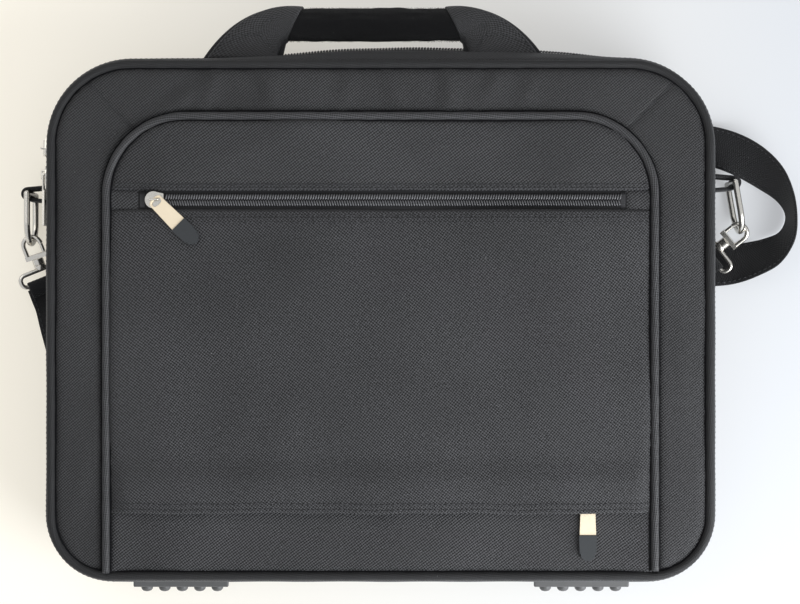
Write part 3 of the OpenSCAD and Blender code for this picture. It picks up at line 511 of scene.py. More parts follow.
def weave_group():
    """Woven cloth: its height, and a tone that follows it as painted shade and highlight, more strongly in
    some patches.
    """
    group = bpy.data.node_groups.new("Weave", "ShaderNodeTree")
    group_input(group, "Cloth", "NodeSocketVector", (0, 0, 0))
    group_input(group, "Thread", "NodeSocketFloat", 0.0008)
    group_input(group, "Turn", "NodeSocketFloat", 0.0)
    group_input(group, "Stretch", "NodeSocketFloat", 1.0)
    group.interface.new_socket(name="Height", in_out="OUTPUT", socket_type="NodeSocketFloat")
    group.interface.new_socket(name="Tone", in_out="OUTPUT", socket_type="NodeSocketFloat")
    nodes, links = group.nodes, group.links
    source, result = nodes.new("NodeGroupInput"), nodes.new("NodeGroupOutput")
    turn = add(nodes, "ShaderNodeVectorRotate", rotation_type="Z_AXIS")
    links.new(source.outputs["Cloth"], turn.inputs["Vector"])
    links.new(source.outputs["Turn"], turn.inputs["Angle"])
    drift = noise(group, 90, 1, source.outputs["Cloth"])
    parts = nodes.new("ShaderNodeSeparateXYZ")
    links.new(turn.outputs[0], parts.inputs[0])
    scale = maths(group, "DIVIDE", math.pi, source.outputs["Thread"])
    sway = maths(group, "MULTIPLY", drift, 1.6)
    across = maths(group, "ADD", maths(group, "MULTIPLY", parts.outputs["X"], scale), sway)
    along = maths(group, "MULTIPLY", maths(group, "MULTIPLY", parts.outputs["Y"], scale),
                  source.outputs["Stretch"])
    along = maths(group, "SUBTRACT", along, sway)
    over = maths(group, "MULTIPLY", maths(group, "SINE", across), maths(group, "SINE", along))
    rib = maths(group, "COSINE", maths(group, "ADD", across, along))
    both = maths(group, "ADD", maths(group, "MULTIPLY", over, 0.56), maths(group, "MULTIPLY", rib, 0.07))
    high = maths(group, "ADD", both, 0.5)
    fibre = noise(group, 2600, 2, source.outputs["Cloth"])
    links.new(maths(group, "ADD", high, maths(group, "MULTIPLY", fibre, 0.3)),
              result.inputs["Height"])
    # The tone paints shade in the weave's gaps and highlight on its crowns, stronger in random patches, with
    # a random melange.
    melange = noise(group, 620, 1, source.outputs["Cloth"])
    patchy = noise(group, 48, 3, source.outputs["Cloth"])
    patches = maths(group, "ADD", maths(group, "MULTIPLY", patchy, 4.2), 0.2)
    strong = maths(group, "MULTIPLY", both, patches)
    mixed = maths(group, "MULTIPLY", maths(group, "SUBTRACT", melange, 0.5), 1.1)
    tone = maths(group, "ADD", maths(group, "ADD", strong, mixed), 0.5)
    links.new(tone, result.inputs["Tone"])
    return group


def wear_group():
    """Slow changes of tone over the whole case, and a few pale specks of lint."""
    group = bpy.data.node_groups.new("Handling", "ShaderNodeTree")
    group_input(group, "Place", "NodeSocketVector", (0, 0, 0))
    group_input(group, "Size", "NodeSocketFloat", 14.0)
    group_input(group, "Lint", "NodeSocketFloat", 0.2)
    group.interface.new_socket(name="Fade", in_out="OUTPUT", socket_type="NodeSocketFloat")
    group.interface.new_socket(name="Speck", in_out="OUTPUT", socket_type="NodeSocketFloat")
    nodes, links = group.nodes, group.links
    source, result = nodes.new("NodeGroupInput"), nodes.new("NodeGroupOutput")
    slow = noise(group, source.outputs["Size"], 4, source.outputs["Place"])
    links.new(slow, result.inputs["Fade"])
    dots = add(nodes, "ShaderNodeTexVoronoi", feature="F1")
    dots.inputs["Scale"].default_value = 210
    links.new(source.outputs["Place"], dots.inputs["Vector"])
    near = maths(group, "LESS_THAN", dots.outputs["Distance"], 0.06)
    rare = nodes.new("ShaderNodeSeparateColor")
    links.new(dots.outputs["Color"], rare.inputs[0])
    kept = maths(group, "LESS_THAN", rare.outputs[0], maths(group, "MULTIPLY", source.outputs["Lint"], 0.25))
    links.new(maths(group, "MULTIPLY", near, kept), result.inputs["Speck"])
    return group


def new_material(name):
    material = bpy.data.materials.new(name)
    material.use_nodes = True
    tree = material.node_tree
    MATERIALS[name] = material
    return material, tree, tree.nodes["Principled BSDF"]


def mix_colour(tree, factor, a, b, blend="MIX"):
    """Two colours mixed by a factor, each a plain value or another node's output."""
    node = add(tree.nodes, "ShaderNodeMix", data_type="RGBA", blend_type=blend)
    for socket, value in ((node.inputs["Factor"], factor), (node.inputs["A"], a), (node.inputs["B"], b)):
        if isinstance(value, (int, float, tuple)):
            socket.default_value = value
        else:
            tree.links.new(value, socket)
    return node.outputs["Result"]


def shade(colour, factor):
    """A colour made lighter or darker, with its alpha."""
    return tuple(min(1.0, c * factor) for c in colour) + (1.0,)


def cloth(name, colour, thread, turn=0.0, stretch=1.0, rough=0.72, sheen=0.12, depth=0.00012, contrast=0.35,
          lint=0.2, specular=0.35):
    """Woven nylon: the weave in the bump and as painted shade and highlight in the colour, slow fading,
    specks of lint and a faint sheen.
    """
    material, tree, skin = new_material(name)
    cloth_map = add(tree.nodes, "ShaderNodeUVMap", uv_map="Cloth")
    weave = add(tree.nodes, "ShaderNodeGroup", node_tree=bpy.data.node_groups["Weave"])
    tree.links.new(cloth_map.outputs["UV"], weave.inputs["Cloth"])
    weave.inputs["Thread"].default_value = thread
    weave.inputs["Turn"].default_value = turn
    weave.inputs["Stretch"].default_value = stretch
    place = tree.nodes.new("ShaderNodeTexCoord")
    wear = add(tree.nodes, "ShaderNodeGroup", node_tree=bpy.data.node_groups["Handling"])
    tree.links.new(place.outputs["Object"], wear.inputs["Place"])
    wear.inputs["Lint"].default_value = lint
    # Painted shade and highlight of the weave: a darker and a lighter copy of the colour, mixed by the
    # weave's tone.
    thread_shade = mix_colour(tree, weave.outputs["Tone"], shade(colour, 1 - contrast),
                         shade(colour, 1 + contrast))
    faded = mix_colour(tree, wear.outputs["Fade"], (0.6, 0.6, 0.6, 1), (1.4, 1.4, 1.4, 1))
    both = mix_colour(tree, 1.0, thread_shade, faded, "MULTIPLY")
    speck = maths(tree, "MULTIPLY", wear.outputs["Speck"], 0.3)
    tree.links.new(mix_colour(tree, speck, both, (0.3, 0.3, 0.3, 1)),
                   skin.inputs["Base Color"])
    gloss = maths(tree, "ADD", rough - 0.1, maths(tree, "MULTIPLY", weave.outputs["Tone"], 0.2))
    tree.links.new(gloss, skin.inputs["Roughness"])
    skin.inputs["Specular IOR Level"].default_value = specular
    skin.inputs["Sheen Weight"].default_value = sheen
    skin.inputs["Sheen Roughness"].default_value = 0.5
    bump = tree.nodes.new("ShaderNodeBump")
    bump.inputs["Distance"].default_value = depth
    bump.inputs["Strength"].default_value = 1.0
    tree.links.new(weave.outputs["Height"], bump.inputs["Height"])
    tree.links.new(bump.outputs["Normal"], skin.inputs["Normal"])
    return material


def grained(name, colour, rough, scale, depth, contrast=0.12, metallic=0.0, specular=0.5, stretch=(1, 1, 1),
            coat=0.0):
    """Rubber, plastic, thread or metal with a fine grain in its tone, gloss and bump."""
    material, tree, skin = new_material(name)
    place = tree.nodes.new("ShaderNodeTexCoord")
    spread = tree.nodes.new("ShaderNodeMapping")
    spread.inputs["Scale"].default_value = stretch
    tree.links.new(place.outputs["Object"], spread.inputs["Vector"])
    grain = noise(tree, scale, 5, spread.outputs["Vector"])
    wear = add(tree.nodes, "ShaderNodeGroup", node_tree=bpy.data.node_groups["Handling"])
    tree.links.new(place.outputs["Object"], wear.inputs["Place"])
    wear.inputs["Size"].default_value = 60
    wear.inputs["Lint"].default_value = 0
    fine = mix_colour(tree, grain, shade(colour, 1 - contrast), shade(colour, 1 + contrast))
    faded = mix_colour(tree, wear.outputs["Fade"], (0.75, 0.75, 0.75, 1), (1, 1, 1, 1))
    tree.links.new(mix_colour(tree, 0.5, fine, faded, "MULTIPLY"), skin.inputs["Base Color"])
    gloss = maths(tree, "ADD", rough - 0.1, maths(tree, "MULTIPLY", grain, 0.2))
    tree.links.new(gloss, skin.inputs["Roughness"])
    skin.inputs["Metallic"].default_value = metallic
    skin.inputs["Specular IOR Level"].default_value = specular
    skin.inputs["Coat Weight"].default_value = coat
    bump = tree.nodes.new("ShaderNodeBump")
    bump.inputs["Distance"].default_value = depth
    tree.links.new(grain, bump.inputs["Height"])
    tree.links.new(bump.outputs["Normal"], skin.inputs["Normal"])
    return material


class BRIEFCASE_OT_finishes(bpy.types.Operator):
    """Make every finish that the pieces use"""

    bl_idname = "briefcase.finishes"
    bl_label = "Finishes"

    def execute(self, context):
        tone, size = colours(), sizes()
        weave_group()
        wear_group()
        cloth("panel_nylon", tone.panel, size.panel_weave, turn=math.radians(8), depth=0.0004, contrast=1.0,
              sheen=0.06)
        cloth("frame_nylon", tone.frame, size.frame_weave, turn=math.radians(6), depth=0.0003, contrast=0.9,
              sheen=0.06)
        cloth("edge_nylon", shade(tone.piping, 0.4)[:3], size.frame_weave, turn=math.radians(38),
              depth=0.00015, contrast=0.6, sheen=0.05)
        cloth("piping_nylon", tone.piping, size.frame_weave, turn=math.radians(38), depth=0.00015,
              contrast=0.8, rough=0.55, sheen=0.08)
        cloth("webbing", tone.webbing, 0.0007, stretch=0.5, depth=0.0002, contrast=0.7, rough=0.8,
              sheen=0.12, lint=0.3)
        cloth("zip_cloth", tone.webbing, 0.0005, turn=math.radians(30), stretch=0.5, depth=0.0001, rough=0.8)
        cloth("lining_cloth", tone.lining, 0.0007, stretch=0.7, depth=0.0001, rough=0.85, sheen=0.3)
        cloth("pile", shade(tone.webbing, 0.6)[:3], 0.0004, stretch=0.8, depth=0.0004, contrast=0.5,
              rough=0.95, sheen=0.08, lint=0.5, specular=0.1)
        grained("sewing_thread", tone.thread, 0.6, 3000, 0.00004)
        # The coil's black is lifted to a dark grey: its own colour, partly painted highlight for the glints
        # on the teeth.
        grained("coil_plastic", (0.08, 0.08, 0.085), 0.3, 900, 0.00002, specular=0.9)
        # The feet's grey: the rubber's own colour, partly lifted as painted light for the light falling on
        # them from below.
        grained("foot_rubber", (0.085, 0.085, 0.085), 0.5, 1400, 0.00006)
        grained("tip_rubber", (0.034, 0.037, 0.04), 0.5, 1800, 0.00002, specular=0.3)
        grained("black_acetal", (0.013, 0.013, 0.015), 0.4, 1200, 0.00003)
        grained("satin_nickel", tone.metal, 0.2, 1500, 0.00001, contrast=0.05, metallic=0.97,
                stretch=(1, 1, 0.2))
        grained("seam_shadow", (0.006, 0.006, 0.007), 0.9, 1500, 0.00003, specular=0.1)
        grained("pull_nickel", (0.93, 0.80, 0.60), 0.42, 500, 0.000002, contrast=0.03, metallic=0.6)
        grained("bright_nickel", tone.metal, 0.18, 900, 0.000005, contrast=0.05, metallic=1.0)
        return {"FINISHED"}


# ---- The back half ----


def plate_loop(inset, z):
    """The case's outline drawn in by inset, as a closed loop of points at one height."""
    points, _ = edge_run("loop")
    w, h = HALF_W - inset, HALF_H - inset
    top_r, low_r = max(TOP_R - inset, 6), max(BOTTOM_R - inset, 6)
    out = []
    for x, y in points:
        r0, r1 = (TOP_R, top_r) if y > 0 else (BOTTOM_R, low_r)
        cx, cy = HALF_W - r0, HALF_H - r0
        nx, ny = w - r1, h - r1
        px = math.copysign(nx + (abs(x) - cx) * r1 / r0, x) if abs(x) > cx else x * nx / cx
        py = math.copysign(ny + (abs(y) - cy) * r1 / r0, y) if abs(y) > cy else y * ny / cy
        out.append((px, py, z))
    return np.array(out)


def turning(loop):
    """Twice the signed area of a loop seen along Z."""
    x, y = np.asarray(loop, float)[:, :2].T
    return float(np.sum(x * np.roll(y, -1) - y * np.roll(x, -1)))


def plate_parts(insets_and_heights, wobble=None):
    """A skin lofted through outlines from the rim to the middle, closed there by one flat face."""
    rings = []
    for inset, z in insets_and_heights:
        shrink = 1 - max(inset - 32, 0) / 110
        rings.append(plate_loop(min(inset, 32), z) * [shrink, shrink, 1])
    points = np.stack(rings)
    if wobble is not None:
        points[..., 2] += wobble(points[..., 0], points[..., 1])
    uv = points[..., :2]
    uv = np.concatenate([uv, uv[:, :1]], axis=1)
    verts, faces, uvs = grid_parts(points, uv, wrap_v=True)
    m = points.shape[1]
    last = (len(rings) - 1) * m
    cap = np.arange(last, last + m)
    beside = [verts[i] for i in faces[-1]]
    if turning(points[-1]) * turning(beside) < 0:
        cap = cap[::-1]
    faces.append([int(i) for i in cap])
    uvs = np.concatenate([uvs, points[-1, cap - last, :2]])
    return verts, faces, uvs


def turn_over(parts):
    """The same skin with its faces turned the other way."""
    verts, faces, uvs = parts
    flipped, start, pieces = [], 0, []
    for f in faces:
        flipped.append(f[::-1])
        pieces.append(uvs[start:start + len(f)][::-1])
        start += len(f)
    return verts, flipped, np.concatenate(pieces)


class BRIEFCASE_OT_back_panel(bpy.types.Operator):
    """Domed back panel that the case lies on"""

    bl_idname = "briefcase.back_panel"
    bl_label = "Back panel"

    def execute(self, context):
        slope = [(4.2, 9.0), (5.0, 8.3), (6.5, 7.5)] + [(6.5 + t * 43.5, 7.5 * (1 - t) ** 1.06) for t in
                                                       (0.12, 0.25, 0.4, 0.55, 0.7, 0.82, 0.91, 0.96, 1.0)]
        flat = [(inset, 0.0) for inset in (54, 62, 75, 90, 110, 130, 146)]

        def soft(x, y):
            depth = edge_depth(x, y)
            bell = np.exp(-(((depth - 26) / 14) ** 2))
            return bell * (0.45 * waves(x, y, 11, 60, 140) + 0.3) + gathers(x, y, depth - 5)

        skin = join_parts("back_skin", [turn_over(plate_parts(slope + flat, soft))])
        finish_piece(skin, "panel_nylon", "case_back", "ballistic_nylon", "back_panel", "back_foam")
        loop = plate_loop(9.5, 0)
        path = np.concatenate([loop, loop[:1]])
        depth = edge_depth(path[:, 0], path[:, 1])
        path[:, 2] = np.interp(depth, [i for i, _ in slope], [z for _, z in slope]) - 0.1
        sew("back_stitching", [path], "case_back", up=(0, 0, -1), lift=0.05)
        return {"FINISHED"}


def closed_pad(name, rim_inset, low, high, crown, seed, edge=2.4):
    """A flat padded lining with a rounded rim and a soft quilted face."""
    middle = (low + high) / 2

    def soft(x, y):
        inward = np.clip((edge_depth(x, y) - rim_inset) / 25, 0, 1)
        return crown * (0.5 + 0.5 * waves(x, y, seed, 70, 160)) * inward

    def face(z, way):
        """One face, from the rim to the middle; way is 1 for the upper one."""
        rim = [(0, middle), (0.4, z - way * 0.8), (edge / 2, z - way * 0.2), (edge, z)]
        field = [(d, z) for d in (4, 6, 10, 16, 24, 34, 50, 65, 80, 95, 110, 125, 134)]
        rows = [(rim_inset + d, height) for d, height in rim + field]
        return plate_parts(rows, lambda x, y: -way * np.abs(soft(x, y)))

    return join_parts(name, [face(high, 1), turn_over(face(low, -1))])


def box_pad(name, x0, x1, y0, y1, z0, z1, round_by, bow=0.0, step=6.0):
    """A padded board with soft edges: one closed section swept across x."""
    half, mid = (z1 - z0) / 2, (z0 + z1) / 2
    angles = np.radians(np.linspace(-90, 90, 7))
    ys = np.linspace(y0 + round_by, y1 - round_by, max(3, int((y1 - y0) / step)))
    rounds = [(round_by * math.cos(a), mid + half * math.sin(a)) for a in angles[1:-1]]
    section = [(y, z0) for y in ys] + [(y1 - round_by + dy, z) for dy, z in rounds]
    section += [(y, z1) for y in ys[::-1]] + [(y0 + round_by - dy, z) for dy, z in rounds[::-1]]
    section = np.array(section)
    xs = np.linspace(x0, x1, max(3, int((x1 - x0) / step)))
    points = np.zeros((len(xs), len(section), 3))
    points[..., 0] = xs[:, None]
    points[..., 1:] = section[None]
    taper = np.clip(np.minimum(xs - x0, x1 - xs) / round_by, 0, 1) if round_by else np.ones(len(xs))
    taper = 0.35 + 0.65 * np.sqrt(taper)
    points[..., 2] = mid + (points[..., 2] - mid) * taper[:, None]
    points[..., 2] += bow * waves(points[..., 0], points[..., 1], 21, 60, 120) * taper[:, None]
    s = np.append(lengths(section), lengths(section)[-1] + 1)
    uv = uv_grid(xs, s)
    return grid_object(name, points, uv, wrap_v=True, caps=True)


class BRIEFCASE_OT_linings(bpy.types.Operator):
    """Padded linings, the laptop divider and its strap inside the case"""

    bl_idname = "briefcase.linings"
    bl_label = "Linings"

    def execute(self, context):
        back = closed_pad("back_lining_pad", 5.2, 10.5, 15.0, 0.8, 31)
        finish_piece(back, "lining_cloth", "case_back", "lining", "back_lining", "back_board")
        lid = closed_pad("lid_lining_pad", 1.2, 50.6, 55.2, 0.7, 33)
        finish_piece(lid, "lining_cloth", "lid", "lining", "lid_lining", "lid_board")
        divider = box_pad("laptop_divider_pad", -180.5, 180.5, -137.2, 63.8, 39.1, 42.9, 2.0, bow=0.15)
        wall = box_pad("laptop_divider_wall", -159.3, 159.3, -137.2, -133.6, 15.1, 40.5, 1.2)
        finish_piece(divider, "lining_cloth", "case_back", "lining", "laptop_divider")
        finish_piece(wall, "lining_cloth", "case_back", "lining")
        edge = [[(x, y, 43.0) for x in np.linspace(-176, 176, 60)] for y in (59.0, -131.5)]
        sew("divider_stitching", edge, "case_back")
        strap = box_pad("divider_strap_web", -19.9, 19.9, 19.3, 143.2, 43.05, 44.45, 0.6)
        riser = box_pad("divider_strap_riser", -19.9, 19.9, 142.05, 143.45, 15.1, 44.3, 0.6)
        finish_piece(strap, "webbing", "case_back", "webbing", "divider_strap")
        finish_piece(riser, "webbing", "case_back", "webbing")
        box = [(-16, 23, 44.5), (16, 23, 44.5), (16, 48, 44.5), (-16, 48, 44.5), (-16, 23, 44.5),
               (16, 48, 44.5)]
        sew("divider_strap_stitching", [box], "case_back")
        return {"FINISHED"}


# ---- Gussets, piping and the main zip ----


def section_tube(name, run, profile, closed=False, flip=False):
    """A section with its own offset and height at each run point, swept along the edge: closed across."""
    points, normals = edge_run(run) if isinstance(run, str) else run
    offsets, heights = profile(points)
    grid = np.zeros(offsets.shape + (3,))
    grid[..., :2] = points[:, None] + normals[:, None] * offsets[..., None]
    grid[..., 2] = heights
    s = run_length(points, closed)
    middle = grid[len(grid) // 2]
    across = np.append(lengths(middle), lengths(middle)[-1] + np.linalg.norm(middle[0] - middle[-1]))
    uv = uv_grid(s, across)
    return grid_object(name, grid, uv, wrap_u=closed, wrap_v=True, flip=flip, caps=not closed)


def wall_profile(z0, z1, thick, drop=0.0, steps=6, rounding=0.5):
    """A soft wall that follows the gusset from z0 to z1, rounded at both lips."""
    heights = np.linspace(z0, z1, steps)

    def profile(points):
        outer = wall_out(points, heights[None]) - drop
        lip = np.zeros(steps)
        lip[0] = lip[-1] = rounding
        outer = outer - lip
        inner = outer[:, ::-1] - thick + 2 * lip[::-1]
        zs = np.concatenate([heights, heights[::-1]])
        return np.concatenate([outer, inner], axis=1), np.tile(zs, (len(points), 1))

    return profile


def edge_point(points, normals, offset, height):
    """Points that stand offset outside the edge at one height."""
    grid = np.zeros((len(points), 3))
    grid[:, :2] = points + normals * offset[:, None]
    grid[:, 2] = height
    return grid


class BRIEFCASE_OT_gussets(bpy.types.Operator):
    """Padded gussets of both halves, with their seams along the zip"""

    bl_idname = "briefcase.gussets"
    bl_label = "Gussets"

    def execute(self, context):
        back = section_tube("back_gusset_cloth", "zip", wall_profile(11.6, TAPE_BACK_Z, 2.9))
        finish_piece(back, "frame_nylon", "case_back", "frame_nylon", "back_gusset")
        front = section_tube("front_gusset_cloth", "zip", wall_profile(TAPE_FRONT_Z, 58.7, 2.9))
        finish_piece(front, "frame_nylon", "lid", "frame_nylon", "front_gusset")
        hinge = section_tube("bottom_gusset_cloth", "bottom", wall_profile(11.6, 58.7, 2.9, steps=28))
        hinge.data.materials.append(MATERIALS["frame_nylon"])
        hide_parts("bottom_gusset", "lid_bottom_gusset")
        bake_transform(hinge)
        points, normals = edge_run("zip")
        for name, body, z in (("back_gusset_stitching", "case_back", TAPE_BACK_Z - 2.2),
                              ("front_gusset_stitching", "lid", TAPE_FRONT_Z + 2.2)):
            path = edge_point(points, normals, wall_out(points, np.array([[z]]))[:, 0], z)
            out = np.concatenate([normals, np.zeros((len(normals), 1))], axis=1)
            sew(name, [np.concatenate([path, out], axis=1)], body, lift=-0.15, radius=0.2)
        return {"FINISHED"}


def piping_profile(depth, z, radius, sides=14):
    """A slightly uneven round section, depth inside the edge and at height z."""
    angles = round_angles(sides)

    def profile(points):
        wobble = 1 + 0.03 * np.sin(0.33 * points[:, :1] + 0.29 * points[:, 1:2])
        return (-depth + radius * wobble * np.cos(angles)[None], z + radius * wobble * np.sin(angles)[None])

    return profile


def inner_run(step=3.0):
    """The inner piping's line: up the left side, over the top and down the right side."""
    cx, cy, end = INNER_X - INNER_R, INNER_TOP - INNER_R, 2 * PIPING_R - HALF_H
    points, normals = [], []
    for y in np.arange(end, cy, step):
        points.append((-INNER_X, y))
        normals.append((-1, 0))
    for a in np.radians(np.linspace(180, 90, 26, endpoint=False)):
        points.append((-cx + INNER_R * math.cos(a), cy + INNER_R * math.sin(a)))
        normals.append((math.cos(a), math.sin(a)))
    for x in np.arange(-cx, cx, step):
        points.append((x, INNER_TOP))
        normals.append((0, 1))
    for a in np.radians(np.linspace(90, 0, 26, endpoint=False)):
        points.append((cx + INNER_R * math.cos(a), cy + INNER_R * math.sin(a)))
        normals.append((math.cos(a), math.sin(a)))
    for y in np.arange(cy, end - 0.01, -step):
        points.append((INNER_X, y))
        normals.append((1, 0))
    return np.array(points), np.array(normals)


class BRIEFCASE_OT_piping(bpy.types.Operator):
    """Covered piping round both edges and round the middle panels"""

    bl_idname = "briefcase.piping"
    bl_label = "Piping"

    def execute(self, context):
        for name, body, z, node in (("back_edge_piping", "case_back", BACK_Z, "back_piping"),
                                    ("front_edge_piping", "lid", FRONT_Z, "front_piping")):
            tube = section_tube(name, "loop", piping_profile(PIPING_R, z, PIPING_R + 0.05), closed=True)
            finish_piece(tube, "edge_nylon", body, "piping_nylon", node)
        profile = piping_profile(0, INNER_PIPING_Z, INNER_PIPING_R + 0.05)
        inner = section_tube("panel_piping", inner_run(), profile)
        finish_piece(inner, "piping_nylon", "lid", "piping_nylon", "inner_piping")
        # Thin dark tubes beside the pipings: painted shade in the grooves of their seams.
        for name, run, depth, z in (("panel_seam_shade_inside", inner_run(), INNER_PIPING_R + 0.6, 61.5),
                                    ("panel_seam_shade_outside", inner_run(), -INNER_PIPING_R - 0.6, 60.2),
                                    ("edge_seam_shade", "loop", 2 * PIPING_R + 0.4, 59.4)):
            seam = section_tube(name, run, piping_profile(depth, z, 0.62, sides=8), closed=run == "loop")
            finish_piece(seam, "seam_shadow", "lid", "piping_nylon")
        return {"FINISHED"}


def teeth(name, places, along, up, width, pitch, body, node, side):
    """One row of zip teeth: each tooth lies across the zip, from the tape to the middle, slanted a little."""
    across = unit(np.cross(up, along))
    slant = unit(across + 0.3 * side * along)
    row = scatter(name, bead(width, pitch * 0.33, 0.35, rings=6), places, slant, up)
    finish_piece(row, "coil_plastic", body, "zip_coil", *([node] if node else []))
    return row


class BRIEFCASE_OT_main_zip(bpy.types.Operator):
    """Main zip: both tapes and both rows of teeth"""

    bl_idname = "briefcase.main_zip"
    bl_label = "Main zip"

    def execute(self, context):
        for side, body, low, high in (("back", "case_back", TAPE_BACK_Z - 1.5, PART_Z - PART_GAP / 2),
                                      ("front", "lid", PART_Z + PART_GAP / 2, TAPE_FRONT_Z + 1.5)):
            tape = section_tube(f"{side}_tape_cloth", "zip", wall_profile(low, high, 0.8, 1.7, 5, 0.1))
            finish_piece(tape, "zip_cloth", body, "zip_tape", f"{side}_zip_tape")
        points, normals = edge_run("zip")
        pitch = sizes().main_teeth / MM
        for name, body, low, high, node, side in (
                ("back_teeth", "case_back", COIL_BACK_Z, PART_Z - PART_GAP / 2, "back_zip_coil", 1),
                ("front_teeth", "lid", PART_Z + PART_GAP / 2, COIL_FRONT_Z, "front_zip_coil", -1)):
            z = (low + high) / 2
            out = wall_out(points, np.array([[z]]))[:, 0] - 1.15
            path = np.concatenate([edge_point(points, normals, out, z), normals, np.zeros((len(points), 1))],
                                  axis=1)
            at, along = resample(path, pitch)
            teeth(name, at[:, :3], along, unit(at[:, 3:6]), high - low, pitch, body, node, side)
        return {"FINISHED"}


# ---- The front ----


def frame_strip(name, stations, node):
    """One strip of the frame, lofted from its outer to its inner edge, both tucked into the seams."""
    outer, inner = (np.array(a) for a in zip(*stations))
    t = np.concatenate([[0, 0.02, 0.05, 0.1], np.linspace(0.17, 0.83, 11), [0.9, 0.95, 0.98, 1]])
    grid = np.zeros((len(outer), len(t), 3))
    grid[..., :2] = outer[:, None] * (1 - t[None, :, None]) + inner[:, None] * t[None, :, None]
    grid[..., 2] = frame_height(grid[..., 0], grid[..., 1])
    strip = grid_object(name, grid, grid[..., :2], flip=name == "right_frame_cloth")
    face_up(strip)
    finish_piece(strip, "frame_nylon", "lid", "frame_nylon", node)
    return strip


def face_up(obj):
    """Turns a sheet's faces so that they look towards +Z."""
    normals = np.array([p.normal.z * p.area for p in obj.data.polygons])
    if normals.sum() < 0:
        obj.data.flip_normals()


class BRIEFCASE_OT_front_frame(bpy.types.Operator):
    """The three strips round the middle panels, mitred at the two top corners"""

    bl_idname = "briefcase.front_frame"
    bl_label = "Front frame"

    def execute(self, context):
        outer_x, outer_top, low_r, top_r = HALF_W - 4.0, HALF_H - 4.0, BOTTOM_R - 4.0, TOP_R - 4.0
        inner_x, inner_top, inner_r = INNER_X + 1.6, INNER_TOP + 1.6, INNER_R + 1.6
        outer_turn, inner_turn = math.radians(54.6), math.radians(52.1)
        low_y = BOTTOM_R - HALF_H
        top_y, inner_y = HALF_H - TOP_R, inner_top - inner_r
        outer_w, inner_w = HALF_W - TOP_R, inner_x - inner_r

        def bend(a, b):
            """A station of the top left corner: its outer and its inner point."""
            return ((-outer_w - top_r * math.cos(a), top_y + top_r * math.sin(a)),
                    (-inner_w - inner_r * math.cos(b), inner_y + inner_r * math.sin(b)))

        def mirrored(stations):
            return [((-o[0], o[1]), (-i[0], i[1])) for o, i in stations]

        side, corner = [], []
        end = math.acos((inner_x - (HALF_W - BOTTOM_R)) / low_r)
        for a in np.linspace(end, 0, 12, endpoint=False):
            y = low_y - low_r * math.sin(a)
            side.append(((-(HALF_W - BOTTOM_R) - low_r * math.cos(a), y), (-inner_x, y)))
        for t in np.linspace(0, 1, 70, endpoint=False):
            side.append(((-outer_x, low_y + t * (top_y - low_y)), (-inner_x, low_y + t * (inner_y - low_y))))
        for t in np.linspace(0, 1, 20):
            side.append(bend(t * outer_turn, t * inner_turn))
        for t in np.linspace(0, 1, 16, endpoint=False):
            corner.append(bend(outer_turn + t * (math.pi / 2 - outer_turn),
                               inner_turn + t * (math.pi / 2 - inner_turn)))
        across = [((outer_w * u, outer_top), (inner_w * u, inner_top)) for u in np.linspace(-1, 1, 90)]
        frame_strip("left_frame_cloth", side, "left_frame")
        frame_strip("top_frame_cloth", corner + across + mirrored(corner)[::-1], "top_frame")
        frame_strip("right_frame_cloth", mirrored(side), "right_frame")
        (ox, oy), (ix, iy) = corner[0]
        seams = []
        for way in (1, -1):
            xs, ys = way * np.linspace(ox + 1.5, ix - 1, 40), np.linspace(oy - 1.5, iy + 1, 40)
            seams.append(np.stack([xs, ys, frame_height(xs, ys)], axis=1))
        sew("mitre_seams", seams, "lid", lift=0.12, pitch=1.1, length=1.5, radius=0.28)
        return {"FINISHED"}


def panel_rows(ys, half_width, height, columns=120):
    """A sheet of even rows across the front, at the heights of its own function."""
    u = np.linspace(-1, 1, columns)
    grid = np.zeros((len(ys), columns, 3))
    grid[..., 0] = u[None] * np.array([half_width(y) for y in ys])[:, None]
    grid[..., 1] = np.array(ys)[:, None]
    grid[..., 2] = height(grid[..., 0], grid[..., 1])
    return grid


def tuck(y, edge, depth, reach):
    """How far a folded edge drops at distance y from it."""
    return depth * np.exp(-((np.maximum(np.abs(y - edge), 0) / reach) ** 2))


def ease(share):
    """A share from 0 to 1 that starts and ends softly."""
    share = np.clip(share, 0, 1)
    return share * share * (3 - 2 * share)


def hem_lift(x, y):
    """The flap rises over the hidden zip and is sewn down at both sides."""
    rise, side = ease((-79.7 - y) / 17), ease((160 - np.abs(x)) / 10)
    return rise * (0.3 + 2.5 * side) + rise * side * 0.35 * waves(x, y * 0.3, 9, 28, 90)


def flap_height(x, y):
    """Height of the flap: the middle panels, lifted over the hidden zip."""
    return middle_height(x, y) + hem_lift(x, y)


def hem_sway(x):
    """How far the flap's hem wanders up and down along x."""
    return 0.5 * waves(x, 0 * x, 17, 35, 120)


